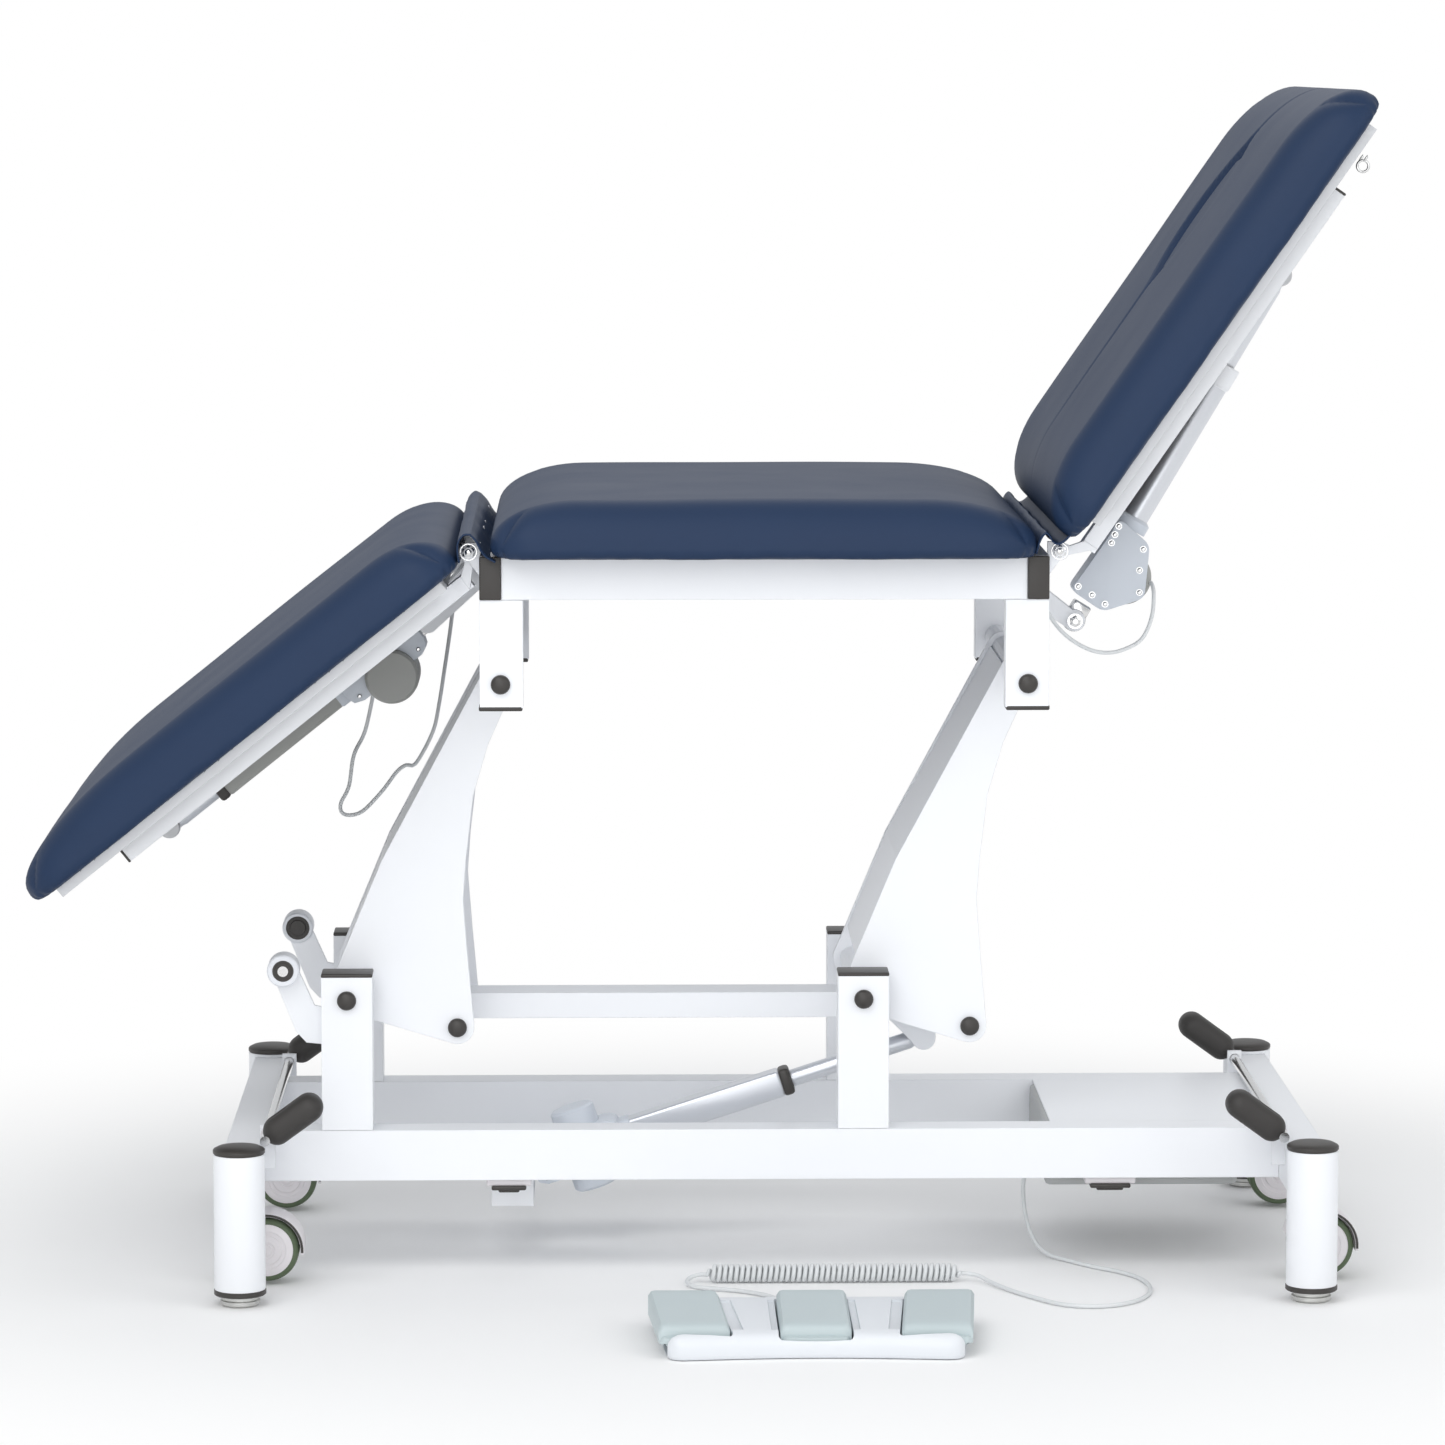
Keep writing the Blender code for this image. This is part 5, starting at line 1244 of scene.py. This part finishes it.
class COUCH_OT_foot_control(Operator):
    """Makes the foot control's housing and its three treadles."""

    bl_idname = "couch.foot_control"
    bl_label = "Foot control"

    def execute(self, context):
        blue = treadle_blue()
        a, b = low("control_housing"), high("control_housing")
        centre_x = (low("treadle_middle").x + high("treadle_middle").x) / 2
        back_y, front_y = b.y, a.y
        width_back, width_front, height = b.x - a.x, (b.x - a.x) * 0.912, b.z

        def outline(shrink, z):
            points = []
            half_back, half_front = width_back / 2 - shrink, width_front / 2 - shrink
            corners = [(-half_back, back_y - shrink), (half_back, back_y - shrink),
                       (half_front, front_y + shrink), (-half_front, front_y + shrink)]
            for k, (cx, cy) in enumerate(corners):
                px, py = corners[k - 1]
                nx, ny = corners[(k + 1) % 4]
                into, out = Vector((cx - px, cy - py)).normalized(), Vector((nx - cx, ny - cy)).normalized()
                r = max(0.006, 0.020 - shrink)
                start, end = Vector((cx, cy)) - into * r, Vector((cx, cy)) + out * r
                for i in range(9):
                    t = i / 8
                    spot = start * (1 - t) ** 2 + Vector((cx, cy)) * 2 * t * (1 - t) + end * t * t
                    points.append((spot.x, spot.y))
                if k == 2:
                    for i in range(1, 24):
                        t = i / 24
                        x = end.x + (-2 * end.x) * t
                        points.append((x, front_y + shrink + 0.0105 * math.sin(math.pi * t)))
            return [(centre_x + x, y, z) for x, y in points]

        rows = [(0.0075, 0.0006), (0.0025, 0.0006), (0.0010, 0.0020), (0.0, 0.0060), (0.0, height * 0.50),
                (0.0012, height * 0.66), (0.0040, height * 0.80), (0.0085, height * 0.91),
                (0.0145, height * 0.975), (0.022, height - 0.0001)]
        bm = bmesh.new()
        rings = [[bm.verts.new(p) for p in outline(shrink, z)] for shrink, z in rows]
        for one, two in zip(rings, rings[1:]):
            wall(bm, one, two)
        bm.faces.new(rings[0][::-1])
        bm.faces.new(rings[-1])
        bmesh.ops.recalc_face_normals(bm, faces=bm.faces)
        housing = new_piece("control_housing_look", bm, Matrix.Identity(4), control_white(), "base",
                            angle=35)
        cutters = []
        for node, (fan, wings) in TREADLES.items():
            ta, tb = low(node), high(node)
            well = soft_box(ta.x - 0.0022, tb.x + 0.0022, ta.y - 0.0033, tb.y + 0.0025, 0.0030,
                            height + 0.02, 0.0040, 3)
            shapes = [well]
            for way in wings:
                edge = ta.x if way < 0 else tb.x
                wide = 0.0100 if node == "treadle_middle" else 0.0150
                x0, x1 = sorted((edge - way * 0.004, edge + way * wide))
                shapes.append(soft_box(x0, x1, ta.y + 0.012, tb.y - 0.004, height - 0.0030, height + 0.02,
                                       0.0012, 2))
            for shape in shapes:
                for vert in shape.verts:
                    vert.co.x += fan * ((tb.y - vert.co.y) / (tb.y - ta.y) - 0.5)
                cutters.append(self.cutter(shape))
        for cutter in cutters:
            cut = housing.modifiers.new("well", "BOOLEAN")
            cut.operation, cut.solver, cut.object = "DIFFERENCE", "EXACT", cutter
        graph = bpy.context.evaluated_depsgraph_get()
        mesh = bpy.data.meshes.new_from_object(housing.evaluated_get(graph))
        housing.modifiers.clear()
        housing.data = mesh
        for cutter in cutters:
            bpy.data.objects.remove(cutter)
        soften = housing.modifiers.new("soft edges", "BEVEL")
        soften.width, soften.segments = 0.0012, 2
        soften.limit_method, soften.angle_limit = "ANGLE", math.radians(42)
        mesh.shade_smooth()
        mesh.set_sharp_from_angle(angle=math.radians(35))
        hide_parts("control_housing")
        for node in TREADLES:
            self.treadle(node, blue)
        sleeve = [(0, 0, 0), (0.0068, 0, 0), (0.0068, 0.004, 0)]
        for k in range(6):
            h = 0.006 + 0.0052 * k
            r = 0.0062 - 0.00052 * k
            sleeve += [(r, h, 0), (r, h + 0.0032, 0), (r - 0.0013, h + 0.0037, 0),
                       (r - 0.0014, h + 0.0047, 0)]
        sleeve += [(0.0031, 0.0375, 0), (0.0027, 0.0385, 0), (0, 0.0385, 0)]
        where = Matrix.Translation(place(0.015, back_y - MID_Y - 0.002,
                                         0.0140)) @ Matrix.Rotation(math.radians(-90), 4, "X")
        new_piece("control_strain_relief", lathe(sleeve, 32), where, cord_grey(), "base",
                  angle=35)
        return {"FINISHED"}

    @staticmethod
    def cutter(bm):
        mesh = bpy.data.meshes.new("well")
        bmesh.ops.recalc_face_normals(bm, faces=bm.faces)
        bm.to_mesh(mesh)
        bm.free()
        obj = bpy.data.objects.new("well", mesh)
        bpy.context.collection.objects.link(obj)
        obj.hide_render = True
        return obj

    @staticmethod
    def treadle(node, material):
        """A pad that slopes up to a lip, rounded at its corners, with a step at its front."""
        a, b = low(node), high(node)
        half, depth = (b.x - a.x) / 2, b.y - a.y
        centre = (a.x + b.x) / 2
        bm = bmesh.new()
        fan = TREADLES[node][0]
        table = []
        for t, up in TREADLE_STATIONS:
            y = b.y - t * depth
            end = min(t, 1 - t) * depth
            pull = 0.010 - math.sqrt(max(0.0, 0.010**2 - max(0.0, 0.010 - end) ** 2))
            row = []
            for k in range(25):
                s = 2 * k / 24 - 1
                x = centre + s * (half - pull) + fan * (t - 0.5)
                side = min(1.0, (1 - abs(s)) * half / 0.0065)
                fall = 0.0055 * (1 - math.sqrt(max(0.0, 1 - (1 - side) ** 2)))
                dish = 0.0014 * (1 - s * s) * (0 if t < 0.12 or t > 0.84
                                               else math.sin(math.pi * (t - 0.12) / 0.72))
                row.append(bm.verts.new((x, y, a.z + (b.z - a.z) * up - fall - dish)))
            table.append(row)
        skin(bm, table)
        rim = rim_of(table)
        under = [bm.verts.new((v.co.x, v.co.y, a.z + 0.0004)) for v in rim]
        wall(bm, rim, under)
        bm.faces.new(under)
        obj = new_piece(f"{node}_look", bm, Matrix.Identity(4), material, node, angle=40)
        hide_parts(node)


CORD_OUT = (
    (0.3177, -0.060, 0.115), (0.3145, -0.060, 0.115), (0.3085, -0.0615, 0.1085), (0.3055, -0.065, 0.088),
    (0.3050, -0.070, 0.068),
    (0.3070, -0.077, 0.048), (0.3120, -0.085, 0.029), (0.3210, -0.095, 0.013), (0.3340, -0.109, 0.0045),
    (0.3520, -0.131, 0.0027),
    (0.3800, -0.169, 0.0027), (0.4080, -0.199, 0.0027), (0.4290, -0.235, 0.0027), (0.4380, -0.285, 0.0027),
    (0.4300, -0.335, 0.0027),
    (0.4070, -0.373, 0.0027), (0.3700, -0.393, 0.0027), (0.3300, -0.383, 0.0027), (0.2990, -0.344, 0.0027),
    (0.2740, -0.303, 0.0027),
    (0.2530, -0.265, 0.0045), (0.2390, -0.2455, 0.0085), (0.2250, -0.240, 0.0098),
)
CORD_BACK = (
    (-0.0855, -0.240, 0.0098), (-0.0950, -0.2435, 0.0085), (-0.1015, -0.2525, 0.0060),
    (-0.1010, -0.2660, 0.0040), (-0.0900, -0.2780, 0.0027),
    (-0.0680, -0.2880, 0.0027), (-0.0380, -0.3020, 0.0027), (-0.0100, -0.3270, 0.0027),
    (0.0070, -0.3620, 0.0027), (0.0140, -0.3980, 0.0050),
    (0.0150, -0.4230, 0.0115), (0.0150, -0.4405, 0.0140), (0.0150, -0.4447, 0.0140),
)


class COUCH_OT_cord(Operator):
    """Lays the foot control's cord: from the control box, through its curly part, to the housing."""

    bl_idname = "couch.cord"
    bl_label = "Cord"

    def execute(self, context):
        look = settings("control")
        across, turns = look.cord_across, look.turns
        ahead = spline_through([place(*p) for p in CORD_OUT], 0.006)
        behind = spline_through([place(*p) for p in CORD_BACK], 0.006)
        start, end = place(0.2207, -0.240, 0.0098), place(-0.0812, -0.240, 0.0098)
        coil_r = 0.0112 - across / 2
        curl = []
        steps = turns * 16
        for i in range(steps + 1):
            t = i / steps
            fade = min(1.0, 26 * t, 26 * (1 - t))
            fade = fade * fade * (3 - 2 * fade)
            spin = math.tau * turns * t
            spot = start.lerp(end, t) + Vector((0, 0, 0.0016 * fade))
            curl.append(spot + Vector((0, math.cos(spin), math.sin(spin))) * coil_r * fade)
        ahead = [p for p in ahead if p.x > start.x + 0.002 or p.z < 0.0075]
        behind = [p for p in behind if p.x < end.x - 0.002 or p.y < MID_Y - 0.245]
        route = ahead + curl[2:-2] + behind
        curve = bpy.data.curves.new("foot_control_cord", "CURVE")
        curve.dimensions = "3D"
        curve.bevel_depth = across / 2
        curve.bevel_resolution = 3
        curve.resolution_u = 1
        curve.use_fill_caps = True
        spline = curve.splines.new("POLY")
        spline.points.add(len(route) - 1)
        for item, spot in zip(spline.points, route):
            item.co = (*spot, 1)
        spline.use_smooth = True
        curve.materials.append(cord_grey())
        obj = bpy.data.objects.new("foot_control_cord", curve)
        bpy.context.collection.objects.link(obj)
        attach(obj, "base")
        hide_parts("cord_from_box", "cord_curl", "cord_to_control")
        relief = [(0, 0, 0), (0.0078, 0, 0), (0.0082, 0.0015, 0), (0.0082, 0.004, 0), (0.0060, 0.006, 0)]
        relief += [(0.0056 - 0.00028 * k + (0.0006 if k % 2 else 0), 0.007 + 0.0028 * k, 0) for k in range(8)]
        relief += [(0.0029, 0.0300, 0), (0.0026, 0.0305, 0), (0, 0.0305, 0)]
        bend = lathe(relief, 28)
        straight, bow, turned = 0.0032, 0.0068, 0.0105
        for vert in bend.verts:
            across, _, h = vert.co
            if h > straight:
                angle = math.radians(88) * min(1.0, h / turned)
                x = -straight - bow * (math.sin(angle) if h < turned else 1)
                z = -bow * (1 - math.cos(angle)) - max(0.0, h - turned)
                vert.co.x, vert.co.z = x - across * math.sin(angle), z + across * math.cos(angle)
            else:
                vert.co.x, vert.co.z = -h, across
        new_piece("box_strain_relief", bend, level(place(0.3177, -0.060, 0.115)), cord_grey(), "base",
                  angle=40)
        return {"FINISHED"}


# ---------------------------------------------------------------- the rest of the frame
class COUCH_OT_finishes(Operator):
    """Gives every frame part that is left its painted, turned or moulded finish."""

    bl_idname = "couch.finishes"
    bl_label = "Finishes"

    def execute(self, context):
        by_slot = {
            "powder_coat": powder_coat(),
            "navy_vinyl": vinyl(),
            "plywood": board_laminate(),
            "black_plastic": black_cap(),
            "grey_plastic": box_grey(),
            "pale_plastic": control_white(),
            "aluminium": aluminium(),
            "steel": bright_steel(),
            "tyre_rubber": tyre_green(),
            "castor_white": hub_white(),
            "cord_grey": cord_grey(),
        }
        slots = {part["node"]: part["material_slot"] for part in RECORD["subparts"]}
        for name, obj in frame["nodes"].items():
            obj.data.materials.clear()
            obj.data.materials.append(by_slot[slots[name]])
        return {"FINISHED"}


# ---------------------------------------------------------------- camera, floor and light
class COUCH_OT_stage(Operator):
    """Sets the camera, the floor, the backdrop and the lights."""

    bl_idname = "couch.stage"
    bl_label = "Camera, floor and light"

    def execute(self, context):
        scene = context.scene
        look = settings("stage")
        camera = bpy.data.cameras.new("Camera")
        camera.lens, camera.sensor_width = look.lens, 36.0
        camera.clip_end = 60
        eye = bpy.data.objects.new("Camera", camera)
        eye.location = place(-0.2025, -7.0466, 1.4374)
        eye.rotation_euler = (math.radians(90 - 6.50), 0, math.radians(-1.196))
        scene.collection.objects.link(eye)
        scene.camera = eye
        scene.view_settings.view_transform = "Standard"
        bm = bmesh.new()
        bmesh.ops.create_grid(bm, x_segments=2, y_segments=2, size=9.0)
        mesh = bpy.data.meshes.new("floor")
        bm.to_mesh(mesh)
        bm.free()
        mesh.materials.append(self.floor_material(look.floor))
        floor = bpy.data.objects.new("floor", mesh)
        mesh.transform(Matrix.Translation(Vector((MID_X, MID_Y, -0.0004))))
        scene.collection.objects.link(floor)
        self.world(scene)
        lights = (
            ("key", (-1.4, -2.6, 3.4), (0.0, 0.0, 0.6), 2.6, 46),
            ("front", (-0.4, -4.6, 1.5), (0.0, 0.0, 0.45), 3.0, 46),
            ("fill", (2.6, -2.2, 2.2), (0.1, 0.0, 0.6), 2.4, 18),
            ("rim", (0.4, 2.8, 3.4), (0.0, 0.0, 0.8), 2.4, 12),
        )
        for name, spot, aim, width, power in lights:
            lamp = bpy.data.lights.new(name, "AREA")
            lamp.shape, lamp.size, lamp.energy = "SQUARE", width, power
            obj = bpy.data.objects.new(name, lamp)
            obj.location = place(*spot)
            obj.rotation_euler = (place(*aim) - place(*spot)).to_track_quat("-Z", "Y").to_euler()
            scene.collection.objects.link(obj)
        return {"FINISHED"}

    @staticmethod
    def floor_material(base):
        material = bpy.data.materials.new("studio floor")
        material.use_nodes = True
        nodes, links = material.node_tree.nodes, material.node_tree.links
        shader, out = nodes["Principled BSDF"], nodes["Material Output"]
        shader.inputs["Base Color"].default_value = (*base, 1)
        shader.inputs["Roughness"].default_value = 0.9
        shader.inputs["Specular IOR Level"].default_value = 0.1
        where = nodes.new("ShaderNodeTexCoord")
        centred = nodes.new("ShaderNodeMapping")
        centred.inputs["Location"].default_value = (-MID_X, -MID_Y, 0)
        links.new(where.outputs["Object"], centred.inputs["Vector"])
        far = nodes.new("ShaderNodeVectorMath")
        far.operation = "LENGTH"
        links.new(centred.outputs["Vector"], far.inputs[0])
        fade = nodes.new("ShaderNodeMapRange")
        fade.interpolation_type = "SMOOTHSTEP"
        fade.inputs["From Min"].default_value = 0.75
        fade.inputs["From Max"].default_value = 1.7
        links.new(far.outputs["Value"], fade.inputs["Value"])
        path = nodes.new("ShaderNodeLightPath")
        seen = nodes.new("ShaderNodeMath")
        seen.operation = "MAXIMUM"
        links.new(path.outputs["Is Camera Ray"], seen.inputs[0])
        links.new(path.outputs["Is Glossy Ray"], seen.inputs[1])
        amount = nodes.new("ShaderNodeMath")
        amount.operation = "MULTIPLY"
        links.new(fade.outputs["Result"], amount.inputs[0])
        links.new(seen.outputs["Value"], amount.inputs[1])
        white = nodes.new("ShaderNodeEmission")
        white.inputs["Color"].default_value = (1, 1, 1, 1)
        blend = nodes.new("ShaderNodeMixShader")
        links.new(amount.outputs["Value"], blend.inputs["Fac"])
        links.new(shader.outputs["BSDF"], blend.inputs[1])
        links.new(white.outputs["Emission"], blend.inputs[2])
        links.new(blend.outputs["Shader"], out.inputs["Surface"])
        return material

    @staticmethod
    def world(scene):
        world = bpy.data.worlds.new("studio")
        scene.world = world
        world.use_nodes = True
        nodes, links = world.node_tree.nodes, world.node_tree.links
        nodes.clear()
        out = nodes.new("ShaderNodeOutputWorld")
        lit, seen = nodes.new("ShaderNodeBackground"), nodes.new("ShaderNodeBackground")
        lit.inputs["Color"].default_value, lit.inputs["Strength"].default_value = (0.97, 0.985, 1, 1), 0.72
        seen.inputs["Color"].default_value, seen.inputs["Strength"].default_value = (1, 1, 1, 1), 1.0
        path, blend = nodes.new("ShaderNodeLightPath"), nodes.new("ShaderNodeMixShader")
        any_ray = nodes.new("ShaderNodeMath")
        any_ray.operation = "MAXIMUM"
        links.new(path.outputs["Is Camera Ray"], any_ray.inputs[0])
        links.new(path.outputs["Is Transmission Ray"], any_ray.inputs[1])
        links.new(any_ray.outputs["Value"], blend.inputs["Fac"])
        links.new(lit.outputs["Background"], blend.inputs[1])
        links.new(seen.outputs["Background"], blend.inputs[2])
        links.new(blend.outputs["Shader"], out.inputs["Surface"])


# ---------------------------------------------------------------- add-on
OPERATORS = (
    COUCH_OT_stage,
    COUCH_OT_cord,
    COUCH_OT_finishes,
    COUCH_OT_pads,
    COUCH_OT_flaps,
    COUCH_OT_feet,
    COUCH_OT_rollers,
    COUCH_OT_castors,
    COUCH_OT_pedals,
    COUCH_OT_actuators,
    COUCH_OT_motor_cables,
    COUCH_OT_frame_trim,
    COUCH_OT_section_trim,
    COUCH_OT_foot_control,
)


class COUCH_PT_making(Panel):
    """The couch's sizes and colours, and its making in order."""

    bl_idname = "COUCH_PT_making"
    bl_label = "Examination couch"
    bl_space_type = "VIEW_3D"
    bl_region_type = "UI"
    bl_category = "Couch"

    def draw(self, context):
        for name, group in SETTINGS.items():
            box = self.layout.box()
            values = getattr(context.scene, name)
            for key in group.__annotations__:
                box.prop(values, key)
        for operator in OPERATORS:
            self.layout.operator(operator.bl_idname)


def register():
    for group in SETTINGS.values():
        bpy.utils.register_class(group)
    for name, group in SETTINGS.items():
        setattr(bpy.types.Scene, name, PointerProperty(type=group))
    for each in (*OPERATORS, COUCH_PT_making):
        bpy.utils.register_class(each)


def unregister():
    for each in (COUCH_PT_making, *reversed(OPERATORS)):
        bpy.utils.unregister_class(each)
    for name, group in SETTINGS.items():
        delattr(bpy.types.Scene, name)
        bpy.utils.unregister_class(group)


def main():
    register()
    for operator in OPERATORS:
        group, name = operator.bl_idname.split(".")
        getattr(getattr(bpy.ops, group), name)()


if __name__ == "__main__":
    main()
